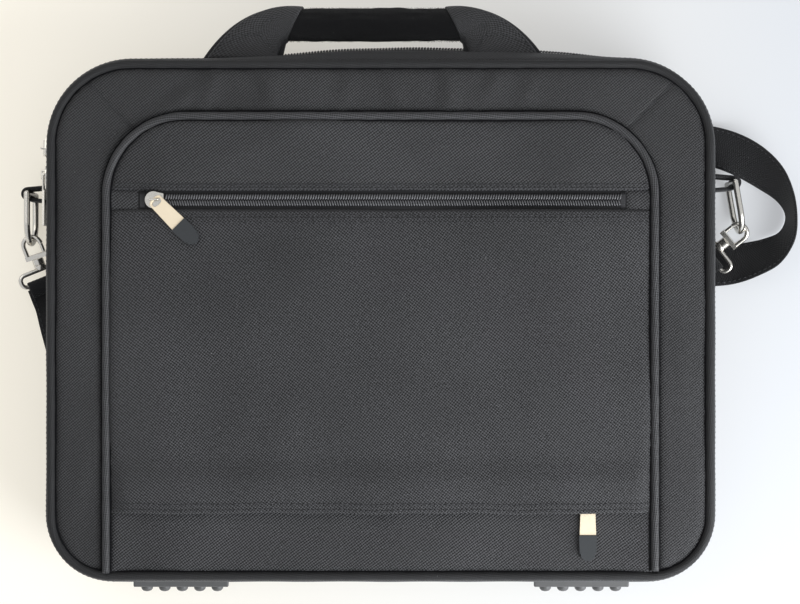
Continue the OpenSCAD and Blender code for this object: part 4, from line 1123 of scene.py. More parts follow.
class BRIEFCASE_OT_middle_panels(bpy.types.Operator):
    """Upper panel, flap with its hem, and the panel below it"""

    bl_idname = "briefcase.middle_panels"
    bl_label = "Middle panels"

    def execute(self, context):
        corner_y, corner_r = INNER_TOP - INNER_R, INNER_R - 1.6
        top = [corner_y + corner_r * math.sin(a) for a in np.linspace(math.radians(5.2), math.pi / 2, 26)]
        slot_top, slot_low = POCKET_ZIP_Y + ZIP_SLOT, POCKET_ZIP_Y - ZIP_SLOT
        low = list(slot_top + np.array([0, 0.15, 0.5, 1.1, 1.8]))
        ys = sorted(set(low + [y for y in top if y > low[-1]]))

        def top_width(y):
            return (INNER_X - INNER_R) + math.sqrt(max(corner_r**2 - max(y - corner_y, 0) ** 2, 0))

        def upper_height(x, y):
            return middle_height(x, y) - tuck(y, slot_top, 2.2, 0.8)

        upper = grid_object("upper_panel_cloth", *self.with_uv(panel_rows(ys, top_width, upper_height)))
        face_up(upper)
        finish_piece(upper, "panel_nylon", "lid", "ballistic_nylon", "upper_panel")

        rows = list(slot_low - np.array([0, 0.15, 0.5, 1.1, 1.8]))
        rows += list(np.linspace(slot_low - 4, -108, 62))
        rows += [HEM_Y + d for d in (4.2, 3.2, 2.2, 1.4, 0.8, 0.35, 0.1)]

        def face(x, y):
            drop = tuck(y, slot_low, 2.2, 0.8)
            hem = 0.55 * np.exp(-((y - HEM_Y) / 0.6) ** 2)
            line = sum(0.22 * np.exp(-(((y - HEM_Y - row) / 0.7) ** 2)) for row in HEM_SEAMS)
            seam = sum(0.25 * np.exp(-(((y - row) / 0.8) ** 2)) for row in ZIP_SEAMS_Y)
            return flap_height(x, y) - drop - hem - line - seam

        front = panel_rows(rows, lambda y: FLAP_HALF_W, face, 150)
        under = []
        for back_by, drop in ((-0.1, 0.9), (0.4, 1.35), (2.5, 1.5), (9, 1.5), (18, 1.6), (30, 1.9)):
            row = front[-1].copy()
            row[:, 1] = HEM_Y + back_by
            row[:, 2] = flap_height(row[:, 0], np.full(len(row), HEM_Y + max(back_by, 0))) - drop
            under.append(row)
        wave = hem_sway(front[-1][:, 0])
        grid = np.concatenate([front, np.array(under)])
        near = np.exp(-((grid[..., 1] - HEM_Y) / 14) ** 2)
        grid[..., 1] += near * wave[None] * np.clip((150 - np.abs(grid[..., 0])) / 30, 0, 1)
        flap = grid_object("flap_cloth", *self.with_uv(grid, lengths(grid[:, 75])))
        face_up(flap)
        finish_piece(flap, "panel_nylon", "lid", "ballistic_nylon", "flap_panel")

        def lower(x, y):
            seam = np.minimum(160.4 - np.abs(x), edge_depth(x, y) - 2 * PIPING_R)
            sunk = 1.6 * np.exp(-np.maximum(seam, 0) / 1.6)
            raised_ends = 1.2 * np.exp(-np.maximum(160 - np.abs(x), 0) / 9)
            room_for_slider = 0.9 * np.exp(-(((x + 147) / 16) ** 2))
            z = 60.3 - sunk + raised_ends
            return z + gathers(x, y, seam) + 0.3 * waves(x, y, 13, 30, 90) - room_for_slider

        grid = panel_rows(np.linspace(-149.8, -112.0, 20), lambda y: FLAP_HALF_W, lower, 130)
        bottom = grid_object("lower_panel_cloth", *self.with_uv(grid))
        face_up(bottom)
        finish_piece(bottom, "panel_nylon", "lid", "ballistic_nylon", "lower_panel")

        rows = []
        for y in (80.2, 77.9):
            xs = np.linspace(-top_width(y) + 4, top_width(y) - 4, 120)
            rows.append(np.stack([xs, np.full(120, y), middle_height(xs, y)], axis=1))
        for y in ZIP_SEAMS_Y:
            xs = np.linspace(-157, 157, 160)
            rows.append(np.stack([xs, np.full(160, y), middle_height(xs, y) - 0.2], axis=1))
        for d in HEM_SEAMS:
            xs = np.linspace(-157, 157, 160)
            ys = np.full(160, HEM_Y + d)
            path = np.stack([xs, ys, flap_height(xs, ys) - 0.15], axis=1)
            path[:, 1] += hem_sway(xs) * np.clip((150 - np.abs(xs)) / 30, 0, 1)
            rows.append(path)
        sew("panel_stitching", rows, "lid")
        return {"FINISHED"}

    def with_uv(self, grid, across=None):
        uv = grid[..., :2].copy()
        if across is not None:
            uv[..., 1] = across[:, None]
        return grid, uv


# ---- Small zips ----


def small_zip(name, x0, x1, y, z, node):
    """A small zip along x: its cord and the teeth on both sides of it."""
    pitch = sizes().small_teeth / MM
    xs = np.arange(x0 + 0.6, x1 - 0.5, pitch)
    along = np.tile([1.0, 0, 0], (len(xs), 1))
    up = np.tile([0, 0, 1.0], (len(xs), 1))
    base = box_pad(name + "_cord", x0, x1, y - 3.3, y + 3.3, z, z + 0.7, 0.3)
    finish_piece(base, "zip_cloth", "lid", "zip_coil")
    for side in (-1, 1):
        places = np.zeros((len(xs), 3))
        places[:] = np.array([(side > 0) * pitch / 2, y + side * 1.8, z + 0.95])
        places[:, 0] += xs
        teeth(f"{name}_teeth_{'upper' if side > 0 else 'lower'}", places, along, up, 3.7, pitch, "lid",
              node if side > 0 else None, side)


class BRIEFCASE_OT_small_zips(bpy.types.Operator):
    """Pocket zip and the hidden zip under the flap: tapes, teeth and bar tacks"""

    bl_idname = "briefcase.small_zips"
    bl_label = "Small zips"

    def execute(self, context):
        tape = box_pad("pocket_tape_cloth", -160, 160, 55, 87, 59.7, TAPE_Z, 0.3, step=3)
        finish_piece(tape, "zip_cloth", "lid", "zip_tape", "pocket_zip_tape")
        tape = box_pad("lower_tape_cloth", -160, 160, -122.7, -90.7, 56.4, LOWER_TAPE_Z, 0.3, step=3)
        finish_piece(tape, "zip_cloth", "lid", "zip_tape", "lower_zip_tape")
        small_zip("pocket_zip", -128, 142, POCKET_ZIP_Y, TAPE_Z, "pocket_zip_coil")
        small_zip("lower_zip", -153, 117, LOWER_ZIP_Y, LOWER_TAPE_Z, "lower_zip_coil")
        xs = np.concatenate([np.arange(142.3, 145, 0.55), np.arange(-142, -139.3, 0.55)])
        places = np.stack([xs, np.full(len(xs), POCKET_ZIP_Y), np.full(len(xs), TAPE_Z + 0.25)], axis=1)
        tacks = scatter("pocket_bar_tacks", bead(10.4, 0.33, 0.2), places,
                        np.tile([0, 1.0, 0], (len(xs), 1)), np.tile([0, 0, 1.0], (len(xs), 1)))
        finish_piece(tacks, "sewing_thread", "lid", "zip_tape", "pocket_zip_stops")
        xs = np.linspace(-139, 141, 240)
        edges = [np.stack([xs, y + 0 * xs, middle_height(xs, y + 0 * xs)], axis=1) for y in (79.6, 60.2)]
        sew("pocket_zip_stitching", edges, "lid", lift=0.12, pitch=3.1, length=2.2, radius=0.3)
        for name, x0, x1 in (("left_pocket_zip_end", -160.4, -143.4),
                             ("right_pocket_zip_end", 145.6, 160.4)):
            xs, ys = np.linspace(x0, x1, 12), np.linspace(64.9, 77.1, 14)
            grid = np.zeros((len(ys), len(xs), 3))
            grid[..., 0], grid[..., 1] = xs[None], ys[:, None]
            to_zip = x1 - grid[..., 0] if x0 < 0 else grid[..., 0] - x0
            away = np.minimum(np.minimum(grid[..., 1] - 64.9, 77.1 - grid[..., 1]), to_zip)
            grid[..., 2] = TAPE_Z + 0.1 + 1.1 * (1 - np.exp(-away / 1.2))
            end = grid_object(name, grid, grid[..., :2])
            face_up(end)
            finish_piece(end, "panel_nylon", "lid", "ballistic_nylon")
        return {"FINISHED"}


# ---- Handles ----


def ear_surface(end, root_z, top_z, top_r, root_half, root_thick, reach, steps=26, sides=28):
    """Points from a flat root on the gusset to a ring round the end of the grip."""
    angle = round_angles(sides)
    c, s = np.cos(angle), np.sin(angle)
    flat = np.sign(c) * np.abs(c) ** 0.7
    root_x = HANDLE_X + end * (GRIP_LEN / 2 + 25) + end * root_half * flat
    root_edge_z = root_z + root_thick * np.sign(s) * np.abs(s) ** 0.6
    root = np.stack([root_x, np.full(sides, ROOT_Y - 2.2), root_edge_z], axis=1)
    ring = np.stack([HANDLE_X + end * (GRIP_LEN / 2 - reach - 5 * c), GRIP_Y + top_r * c, top_z + top_r * s],
                    axis=1)
    far = (1 + c) / 2
    pull = root + np.stack([-end * (2 + 21 * far), 10 + 26 * far, np.full(sides, (top_z - root_z) * 0.35)],
                           axis=1)
    t = np.linspace(0, 1, steps)[:, None, None]
    body = (1 - t) ** 2 * root + 2 * t * (1 - t) * pull + t**2 * ring
    lip = (ring + np.array([-end * 0.5, 0, 0]) - [0, GRIP_Y, top_z]) * [1, 0.94, 0.94] + [0, GRIP_Y, top_z]
    return np.concatenate([body, lip[None]])


def ear(name, end, lid_body, handle_body, material, slot, nodes, *shape):
    """One folded ear of a handle, blended from the half that it is sewn to into the handle."""
    points = ear_surface(end, *shape)
    n = len(points)
    crumple = 0.25 * waves(points[..., 0], points[..., 1] + points[..., 2], 41 + end, 14, 40)
    t = np.linspace(0, 1, n)[:, None]
    outward = np.sign(points[..., 2] - points[..., 2].mean(axis=1, keepdims=True))
    points[..., 2] += crumple * np.sin(math.pi * t) * outward
    s = lengths(points.mean(axis=1))
    across = np.append(lengths(points[n // 3]), lengths(points[n // 3])[-1] + 2)
    uv = uv_grid(s, across)
    obj = grid_object(name, points, uv, wrap_v=True, caps=True, flip=end > 0)
    obj.data.materials.append(MATERIALS[material])
    if nodes:
        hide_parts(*nodes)
    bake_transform(obj)
    return points


def ear_stitching(name, points):
    """Rows near both edges of an ear's upper face, joined by the two slanted rows of its fold."""
    n, m = points.shape[:2]
    rows = []

    def on_face(t, share):
        """A point on the upper face; share runs from the far edge to the near one."""
        i = t * (n - 2)
        j = share * (m // 2)
        i0, j0 = int(i), int(j)
        a, b = i - i0, j - j0
        p = points[[i0, min(i0 + 1, n - 1)]][:, [j0 % m, (j0 + 1) % m]]
        return (1 - a) * ((1 - b) * p[0, 0] + b * p[0, 1]) + a * ((1 - b) * p[1, 0] + b * p[1, 1])

    for line in (((0.08, 0.12), (0.86, 0.12)), ((0.08, 0.88), (0.78, 0.88)), ((0.1, 0.12), (0.4, 0.5)),
                 ((0.1, 0.88), (0.4, 0.5)), ((0.4, 0.5), (0.8, 0.35))):
        (t0, s0), (t1, s1) = line
        path = np.array([on_face(t0 + (t1 - t0) * k, s0 + (s1 - s0) * k) for k in np.linspace(0, 1, 24)])
        rows.append(path)
    obj = sew(name, rows, None, lift=0.15)
    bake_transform(obj)


class BRIEFCASE_OT_front_handle(bpy.types.Operator):
    """Padded front handle's two folded nylon ears, with their stitching and the webbing under them"""

    bl_idname = "briefcase.front_handle"
    bl_label = "Front handle"

    def execute(self, context):
        shape = (FRONT_ROOT_Z, GRIP_Z, GRIP_R + 1.0, 21, 1.7, 6)
        for end, side in ((-1, "left"), (1, "right")):
            nodes = ("front_handle", "front_handle_root") if end < 0 else ()
            points = ear(f"{side}_handle_ear", end, "lid", "front_handle", "frame_nylon", "frame_nylon",
                         nodes, *shape)
            ear_stitching(f"{side}_ear_stitching", points)
            under = (FRONT_ROOT_Z - 3.4, GRIP_Z - 0.6, GRIP_R + 0.5, 24, 1.4, 6)
            ear(f"{side}_ear_webbing", end, "lid", "front_handle", "webbing", "webbing", (), *under)
        return {"FINISHED"}


def grip_roll(name, xs, radius, middle_z, cloth_r):
    """A roll along x, with one radius for each place along it and each direction round it."""
    sides = radius.shape[1]
    angle = round_angles(sides)
    grip_x = np.broadcast_to(HANDLE_X + xs[:, None], radius.shape)
    grid = np.stack([grip_x, GRIP_Y + radius * np.cos(angle), middle_z + radius * np.sin(angle)], axis=-1)
    uv = uv_grid(xs, np.arange(sides + 1) * 2 * math.pi * cloth_r / sides)
    return grid_object(name, grid, uv, wrap_v=True, caps=True, flip=True)


class BRIEFCASE_OT_grip(bpy.types.Operator):
    """Soft pile sleeve wrapped round the grip, with its lengthwise seam and loose fibres"""

    bl_idname = "briefcase.grip"
    bl_label = "Grip"

    def execute(self, context):
        angle = round_angles(40)
        half = GRIP_LEN / 2
        xs = np.concatenate([[-half, -half + 0.4], np.linspace(-half + 1.5, half - 1.5, 60),
                             [half - 0.4, half]])
        radius = np.full((len(xs), len(angle)), GRIP_R)
        radius += 0.3 * waves(xs[:, None], angle[None] * 9, 51, 9, 30) - 0.25
        radius -= 0.7 * np.exp(-(((angle[None] - 1.15 - 0.06 * np.sin(xs[:, None] * 0.2)) / 0.07) ** 2))
        radius[[0, -1]] -= 1.6
        radius[[1, -2]] -= 0.5
        sleeve = grip_roll("grip_sleeve", xs, radius, GRIP_Z, GRIP_R)
        finish_piece(sleeve, "pile", "front_handle", "wrap_pile", "grip_wrap", "handle_core")
        rng = np.random.default_rng(7)
        count = 5200
        x, a = rng.uniform(-half + 1, half - 1, count), rng.uniform(0, 2 * math.pi, count)
        out = np.stack([0 * x, np.cos(a), np.sin(a)], axis=1)
        lean = unit(out + rng.normal(0, 0.7, (count, 3)))
        places = np.stack([HANDLE_X + x, GRIP_Y + 9.9 * np.cos(a), GRIP_Z + 9.9 * np.sin(a)], axis=1)
        fibre = bead(1.5, 0.05, 0.1, rings=3, sides=3)
        fibres = scatter("grip_fibres", fibre, places, lean, unit(out + [0.3, 0.1, 0.2]))
        finish_piece(fibres, "pile", "front_handle", "wrap_pile")
        return {"FINISHED"}


class BRIEFCASE_OT_back_handle(bpy.types.Operator):
    """Rolled webbing handle on the back half"""

    bl_idname = "briefcase.back_handle"
    bl_label = "Back handle"

    def execute(self, context):
        shape = (BACK_ROOT_Z, BACK_GRIP_Z, BACK_GRIP_R + 0.4, 21, 1.5, 4)
        for end, side in ((-1, "left"), (1, "right")):
            nodes = ("back_handle", "back_handle_root") if end < 0 else ()
            points = ear(f"{side}_back_ear", end, "case_back", "back_handle", "webbing", "webbing", nodes,
                         *shape)
            ear_stitching(f"{side}_back_ear_stitching", points)
        angle = round_angles(24)
        xs = np.linspace(-GRIP_LEN / 2, GRIP_LEN / 2, 50)
        radius = BACK_GRIP_R - 0.25 * np.abs(np.sin(angle[None] * 1.5))
        radius = radius + 0.12 * waves(xs[:, None], angle[None] * 4, 61, 8, 25)
        radius = radius - 0.5 * np.exp(-(((angle[None] - 4.7) / 0.2) ** 2))
        roll = grip_roll("back_grip_roll", xs, radius, BACK_GRIP_Z, BACK_GRIP_R)
        finish_piece(roll, "webbing", "back_handle", "webbing")
        return {"FINISHED"}


# ---- Webbing ----


def ribbon(name, centres, wide, thick, width, thickness, ribs=9):
    """Flat webbing with soft edges and lengthwise ribs, swept along its own frames."""
    half = width / 2
    u = np.linspace(-1, 1, ribs * 2 + 1)
    rib = 0.06 * np.cos(u * math.pi * ribs) if ribs else 0 * u
    top = [(x * (half - 0.25), thickness / 2 + r - 0.06) for x, r in zip(u, rib)]
    low = [(x * (half - 0.25), -thickness / 2 - r + 0.06) for x, r in zip(u[::-1], rib[::-1])]
    right = [(half, thickness / 4), (half, -thickness / 4)]
    left = [(-half, -thickness / 4), (-half, thickness / 4)]
    section = np.array(top + right + low + left)
    grid = centres[:, None] + section[None, :, :1] * wide[:, None] + section[None, :, 1:] * thick[:, None]
    across = np.append(lengths(section), lengths(section)[-1] + thickness / 2)
    uv = uv_grid(lengths(centres), across)
    return grid_object(name, grid, uv, wrap_v=True, caps=True)


def hung(points, hang, mirror):
    """Points or directions of a swivel loop, turned by its yaw, drop and lean, and mirrored at the right."""
    yaw, drop, lean = (math.radians(angle) for angle in hang)
    x, y, z = np.array(points, float).T
    x, z = x * math.cos(lean) + z * math.sin(lean), z * math.cos(lean) - x * math.sin(lean)
    y, z = y * math.cos(drop) - z * math.sin(drop), y * math.sin(drop) + z * math.cos(drop)
    x, y = x * math.cos(yaw) - y * math.sin(yaw), x * math.sin(yaw) + y * math.cos(yaw)
    return np.stack([-x if mirror else x, y, z], axis=1)


def strap_frames(steps=8):
    """The strap's middle line with its directions across and through, worked out as the solids do."""
    route = np.array(STRAP_ROUTE, float)
    last = len(route) - 1
    points = []
    for i in range(last):
        a, b, c, d = route[max(i - 1, 0)], route[i], route[i + 1], route[min(i + 2, last)]
        for k in range(steps):
            t = k / steps
            square, cube = 2 * a - 5 * b + 4 * c - d, 3 * b - a - 3 * c + d
            points.append(0.5 * (2 * b + (c - a) * t + square * t * t + cube * t**3))
    points.append(route[-1])
    points = np.array(points)
    centres, tilt = points[:, :3], np.radians(points[:, 3:])
    along = unit(np.gradient(centres, axis=0))
    level = unit(np.stack([-along[:, 1], along[:, 0], 0 * along[:, 0]], axis=1))
    up = np.cross(along, level)
    wide = np.cos(tilt) * level + np.sin(tilt) * up
    return centres, wide, np.cross(along, wide)


class BRIEFCASE_OT_strap(bpy.types.Operator):
    """Shoulder strap from the left hook, under the case and round to the right hook, with two sewn ends"""

    bl_idname = "briefcase.strap"
    bl_label = "Shoulder strap"

    def execute(self, context):
        centres, wide, thick = strap_frames()
        strap = ribbon("shoulder_strap", centres, wide, thick, STRAP_W, STRAP_T)
        finish_piece(strap, "webbing", "case_back", "webbing", "strap")
        rows = []
        for side in (-1, 1):
            face = np.where(thick[:, 2:] < 0, -1.0, 1.0)
            line = centres + side * wide * 10.6 + thick * face * 0.62
            rows.append(np.concatenate([line, thick * face], axis=1))
        sew("strap_stitching", rows, "case_back", lift=0.02, pitch=3.4)
        left = self.wrap("left_strap_end", "left_loop", (-209.10, 24.24, 8.74), (0.8646, 0.3801, -0.3288),
                         (0.297, -0.9142, -0.2756), 7.5)
        right = self.wrap("right_strap_end", "right_loop", *self.right_bar(), 5.0)
        return {"FINISHED"}

    def right_bar(self):
        """Middle, direction and outward way of the right loop's far bar, as the solids place it."""
        middle, bar, way = hung([(0, LOOP_FAR_Y, 0), (1, 0, 0), (0, -1, 0)], RIGHT_HANG, True)
        return RIGHT_LOOP_AT + middle, bar, way

    def wrap(self, name, body, centre, bar, way, tail):
        """Webbing folded round a loop's bar, both ends running back along the strap."""
        centre, bar, way = (np.array(v, float) for v in (centre, bar, way))
        through = np.cross(bar, way)
        if through[2] < 0:
            through = -through
        line = [centre + way * tail + through * 1.5, centre + way * tail * 0.4 + through * 1.95]
        line += [centre + 2.1 * (math.cos(a) * through - math.sin(a) * way)
                 for a in np.linspace(0, math.pi, 9)]
        line += [centre + way * tail * 0.4 - through * 1.95, centre + way * tail * 0.8 - through * 1.5]
        line = np.array(line)
        along = unit(np.gradient(line, axis=0))
        wide = np.tile(bar, (len(line), 1))
        end = ribbon(name, line, wide, np.cross(along, wide), STRAP_W - 2.6, 1.2)
        return finish_piece(end, "webbing", body, "webbing")


class BRIEFCASE_OT_ring_tabs(bpy.types.Operator):
    """Webbing tabs that hold the two D-rings"""

    bl_idname = "briefcase.ring_tabs"
    bl_label = "Ring tabs"

    def execute(self, context):
        for side, y, name in ((-1, 77.0, "left_ring_tab"), (1, 84.0, "right_ring_tab")):
            bar = side * (HALF_W + 19)
            root = side * (HALF_W - 0.5)
            line = [(root + (bar - root) * t, y - 5.0 + 1.7 * t) for t in np.linspace(0, 1, 8)]
            bend = np.linspace(0.3, math.pi - 0.3, 9)
            line += [(bar + side * 3.3 * math.sin(a), y - 3.3 * math.cos(a)) for a in bend]
            line += [(bar + (root - bar) * t, y + 3.3 + 1.7 * t) for t in np.linspace(0, 1, 8)]
            line = np.array([(a, b, 15.6) for a, b in line])
            along = unit(np.gradient(line, axis=0))
            wide = np.tile([0, 0, 1.0], (len(line), 1))
            tab = ribbon(f"{name}_web", line, wide, np.cross(along, wide), 20, 2.0, ribs=7)
            finish_piece(tab, "webbing", "case_back", "webbing", name)
            xs = [root + (bar - root) * t for t in (0.5, 0.78)]
            rows = []
            for z in (8.0, 23.2):
                along_tab = zip(np.linspace(xs[0], xs[1], 8), np.linspace(0.5, 0.78, 8))
                rows.append([(x, y + 5.6 - 1.7 * t, z) for x, t in along_tab])
            for x, t in zip(xs, (0.5, 0.78)):
                rows.append([(x, y + 5.65 - 1.7 * t, z) for z in np.linspace(8.0, 23.2, 10)])
            sew(f"{name}_stitching", rows, "case_back", up=(0, 1, 0), lift=0.0)
        return {"FINISHED"}


# ---- Metal, rubber and plastic ----


def dress(node, material, bevel=0.00025, angle=35):
    """Gives a solid its finish and breaks its sharp edges."""
    obj = frame["nodes"][node]
    if not obj.material_slots:
        obj.data.materials.append(None)
    for place in obj.material_slots:
        place.material = MATERIALS[material]
    if bevel:
        soft = obj.modifiers.new("Soft edges", "BEVEL")
        soft.width, soft.segments, soft.limit_method = bevel, 2, "ANGLE"
        soft.angle_limit = math.radians(angle)
        soft.harden_normals = False
    return obj


def pull_plate(name, body, pivot, yaw, length=20.5, thick=1.4):
    """A pull's flat plate with a rounded eye, from its pivot along yaw; body names its solid too."""
    count = 72
    angles = round_angles(count)
    hole, wide, narrow, eye = np.array([2.2, 0.0]), 4.9, 4.35, (1.9, 3.1)
    turns = np.linspace(math.pi / 2, 3 * math.pi / 2, 15)[1:-1]
    nose = [(1.2 + 2.0 * math.cos(a) - 0.2, narrow * math.sin(a)) for a in turns]
    corners = np.array([(length, -wide), (length, wide), (3.0, narrow)] + nose + [(3.0, -narrow)])
    rim, inner = [], []
    for a in angles:
        way = np.array([math.cos(a), math.sin(a)])
        best = 0
        for p, q in zip(corners, np.roll(corners, -1, axis=0)):
            edge = q - p
            cross = way[0] * edge[1] - way[1] * edge[0]
            if abs(cross) > 1e-9:
                gap = p - hole
                t = (gap[0] * edge[1] - gap[1] * edge[0]) / cross
                u = (gap[0] * way[1] - gap[1] * way[0]) / cross
                if t > 0 and -1e-6 <= u <= 1 + 1e-6:
                    best = max(best, t)
        rim.append(hole + way * best)
        reach = 1 / ((abs(way[0]) / eye[0]) ** 2.6 + (abs(way[1]) / eye[1]) ** 2.6) ** (1 / 2.6)
        inner.append(hole + way * reach)
    rim, inner = np.array(rim), np.array(inner)
    out = unit(rim - hole)
    half, soft = thick / 2, 0.28
    inner_edge, rim_edge = inner + out * soft, rim - out * soft
    layers = [(inner, half - soft), (inner_edge, half), (inner * 0.5 + rim * 0.5, half), (rim_edge, half),
              (rim, half - soft), (rim, soft - half), (rim_edge, -half), (inner_edge, -half),
              (inner, soft - half)]
    c, s = math.cos(yaw), math.sin(yaw)
    grid = np.zeros((count, len(layers), 3))
    for k, (flat, z) in enumerate(layers):
        grid[:, k, 0] = pivot[0] + flat[:, 0] * c - flat[:, 1] * s
        grid[:, k, 1] = pivot[1] + flat[:, 0] * s + flat[:, 1] * c
        grid[:, k, 2] = pivot[2] + z
    uv = np.zeros((count + 1, len(layers) + 1, 2))
    plate = grid_object(name, grid, uv, wrap_u=True, wrap_v=True, flip=True)
    edges = plate.modifiers.new("Edges", "EDGE_SPLIT")
    edges.split_angle = math.radians(35)
    return finish_piece(plate, "pull_nickel", body, "nickel", body)


def wire_loop(name, body, bow, hang, mirror):
    """A swivel's rectangular wire loop with rounded corners, and its hub; body names its solid too."""
    near, far, half, turn, wire = -17.3, LOOP_FAR_Y, 14.6, 3.3, 1.4
    path = []
    for cx, cy, start in ((half - turn, near - turn, 0), (turn - half, near - turn, 90),
                          (turn - half, far + turn, 180), (half - turn, far + turn, 270)):
        for a in np.radians(np.linspace(start, start + 90, 9)):
            path.append((cx + turn * math.cos(a), cy + turn * math.sin(a), 0))
    flat = np.array(path)
    along = unit(np.roll(flat, -1, axis=0) - np.roll(flat, 1, axis=0))
    side = np.cross(along, [0, 0, 1.0])
    angles = round_angles(14)
    c, s = np.cos(angles)[None, :, None], np.sin(angles)[None, :, None]
    grid = flat[:, None] + wire * (c * side[:, None] + s * [0, 0, 1.0])
    grid = (hung(grid.reshape(-1, 3), hang, mirror) + bow).reshape(grid.shape)
    loop = grid_object(name, grid, np.zeros((len(flat) + 1, 15, 2)), wrap_u=True, wrap_v=True,
                       flip=not mirror)
    finish_piece(loop, "satin_nickel", body, "nickel", body)
    hub = []
    for y, r in ((-14.0, 2.9), (-14.0, 3.3), (-14.3, 3.5), (-16.7, 3.5), (-17.2, 3.0), (-17.4, 2.0)):
        hub.append([(r * math.cos(a), y, r * math.sin(a)) for a in round_angles(24)])
    hub = np.array(hub)
    shape = hub.shape
    hub = (hung(hub.reshape(-1, 3), hang, mirror) + bow).reshape(shape)
    barrel = grid_object(name + "_hub", hub, np.zeros((shape[0], shape[1] + 1, 2)), wrap_v=True, caps=True,
                         flip=not mirror)
    finish_piece(barrel, "satin_nickel", body, "nickel")


class BRIEFCASE_OT_feet(bpy.types.Operator):
    """Ribbed rubber feet along the bottom edge"""

    bl_idname = "briefcase.feet"
    bl_label = "Feet"

    def execute(self, context):
        parts = []
        section = [(-152, 12.7), (-159.6, 12.7), (-160.5, 13.6), (-160.5, 23.2), (-161.2, 24.0),
                   (-163.0, 24.4), (-163.6, 25.0), (-163.6, 26.8), (-163.0, 27.5), (-152, 27.5)]
        lump = [(-159.5, 2.9), (-162.5, 3.0), (-164.4, 3.0), (-165.8, 2.7), (-166.8, 1.9), (-167.2, 0.8)]
        angles = round_angles(20)
        for middle in (-FOOT_X, FOOT_X):
            xs = middle + np.array([-29, -28.6, -28, -10, 10, 28, 28.6, 29])
            grid = np.array([[(x, y, z) for y, z in section] for x in xs])
            grid[[0, -1], :, 1:] = grid[[0, -1], :, 1:] * 0.94 + np.array([-156, FOOT_Z]) * 0.06
            uv = np.zeros((len(xs), len(section) + 1, 2))
            verts, faces, uvs = grid_parts(grid, uv, wrap_v=True)
            m = len(section)
            faces += [list(range(m)), list(range(len(xs) * m - 1, (len(xs) - 1) * m - 1, -1))]
            parts.append((verts, faces, np.concatenate([uvs, np.zeros((2 * m, 2))])))
            for k in range(-2, 3):
                at = middle + k * LUG_PITCH
                rings = np.array([[(at + r * 1.25 * math.cos(a), y, FOOT_Z + r * 1.3 * math.sin(a))
                                   for a in angles] for y, r in lump])
                verts, faces, uvs = grid_parts(rings, np.zeros((len(lump), 21, 2)), wrap_v=True)
                faces.append(list(range((len(lump) - 1) * 20 + 19, (len(lump) - 1) * 20 - 1, -1)))
                parts.append((verts, faces, np.concatenate([uvs, np.zeros((20, 2))])))
        feet = join_parts("rubber_feet", parts)
        edges = feet.modifiers.new("Edges", "EDGE_SPLIT")
        edges.split_angle = math.radians(50)
        finish_piece(feet, "foot_rubber", "case_back", "rubber", "feet")
        return {"FINISHED"}


class BRIEFCASE_OT_hardware(bpy.types.Operator):
    """Nickel sliders, pulls, rings, hooks and rivets, the pulls' rubber tips and the strap adjuster"""

    bl_idname = "briefcase.hardware"
    bl_label = "Hardware"

    def execute(self, context):
        for side in ("left", "right"):
            dress(f"{side}_ring", "satin_nickel", 0)
            for part in ("hook", "gate"):
                dress(f"{side}_{part}", "satin_nickel", 0.0002)
        for name in ("pocket", "lower"):
            dress(f"{name}_slider", "bright_nickel", 0.0002)
            dress(f"{name}_pull_tip", "tip_rubber", 0.0005)
        for name in ("upper_main", "lower_main"):
            dress(f"{name}_slider", "bright_nickel", 0.0002)
            dress(f"{name}_pull", "satin_nickel", 0.0002)
        dress("foot_rivets", "satin_nickel", 0.0002)
        pull_plate("pocket_pull_plate", "pocket_pull", POCKET_PULL_AT, math.radians(-45))
        pull_plate("lower_pull_plate", "lower_pull", LOWER_PULL_AT, math.radians(-90))
        wire_loop("left_wire_loop", "left_loop", LEFT_LOOP_AT, LEFT_HANG, False)
        wire_loop("right_wire_loop", "right_loop", RIGHT_LOOP_AT, RIGHT_HANG, True)
        dress("strap_adjuster", "black_acetal", 0.0003)
        return {"FINISHED"}


# ---- The stage ----


# The table's half width and its height in millimetres, and the camera's place in metres
TABLE, TABLE_Z = 3000, -0.6
CAMERA_AT = (0.0115, 0.0107, 1.06)
# Lamps: name, place in metres, width in metres, power in watts, colour
LAMPS = (
    ("window", (0.8, -0.6, 0.62), 0.8, 12.5, (0.95, 0.975, 1.0)),
    ("card", (0.46, -0.40, 0.36), 0.5, 2.3, (0.95, 0.975, 1.0)),
    ("lamp", (-0.9, 0.9, 1.6), 1.5, 7.0, (1.0, 0.96, 0.88)),
)


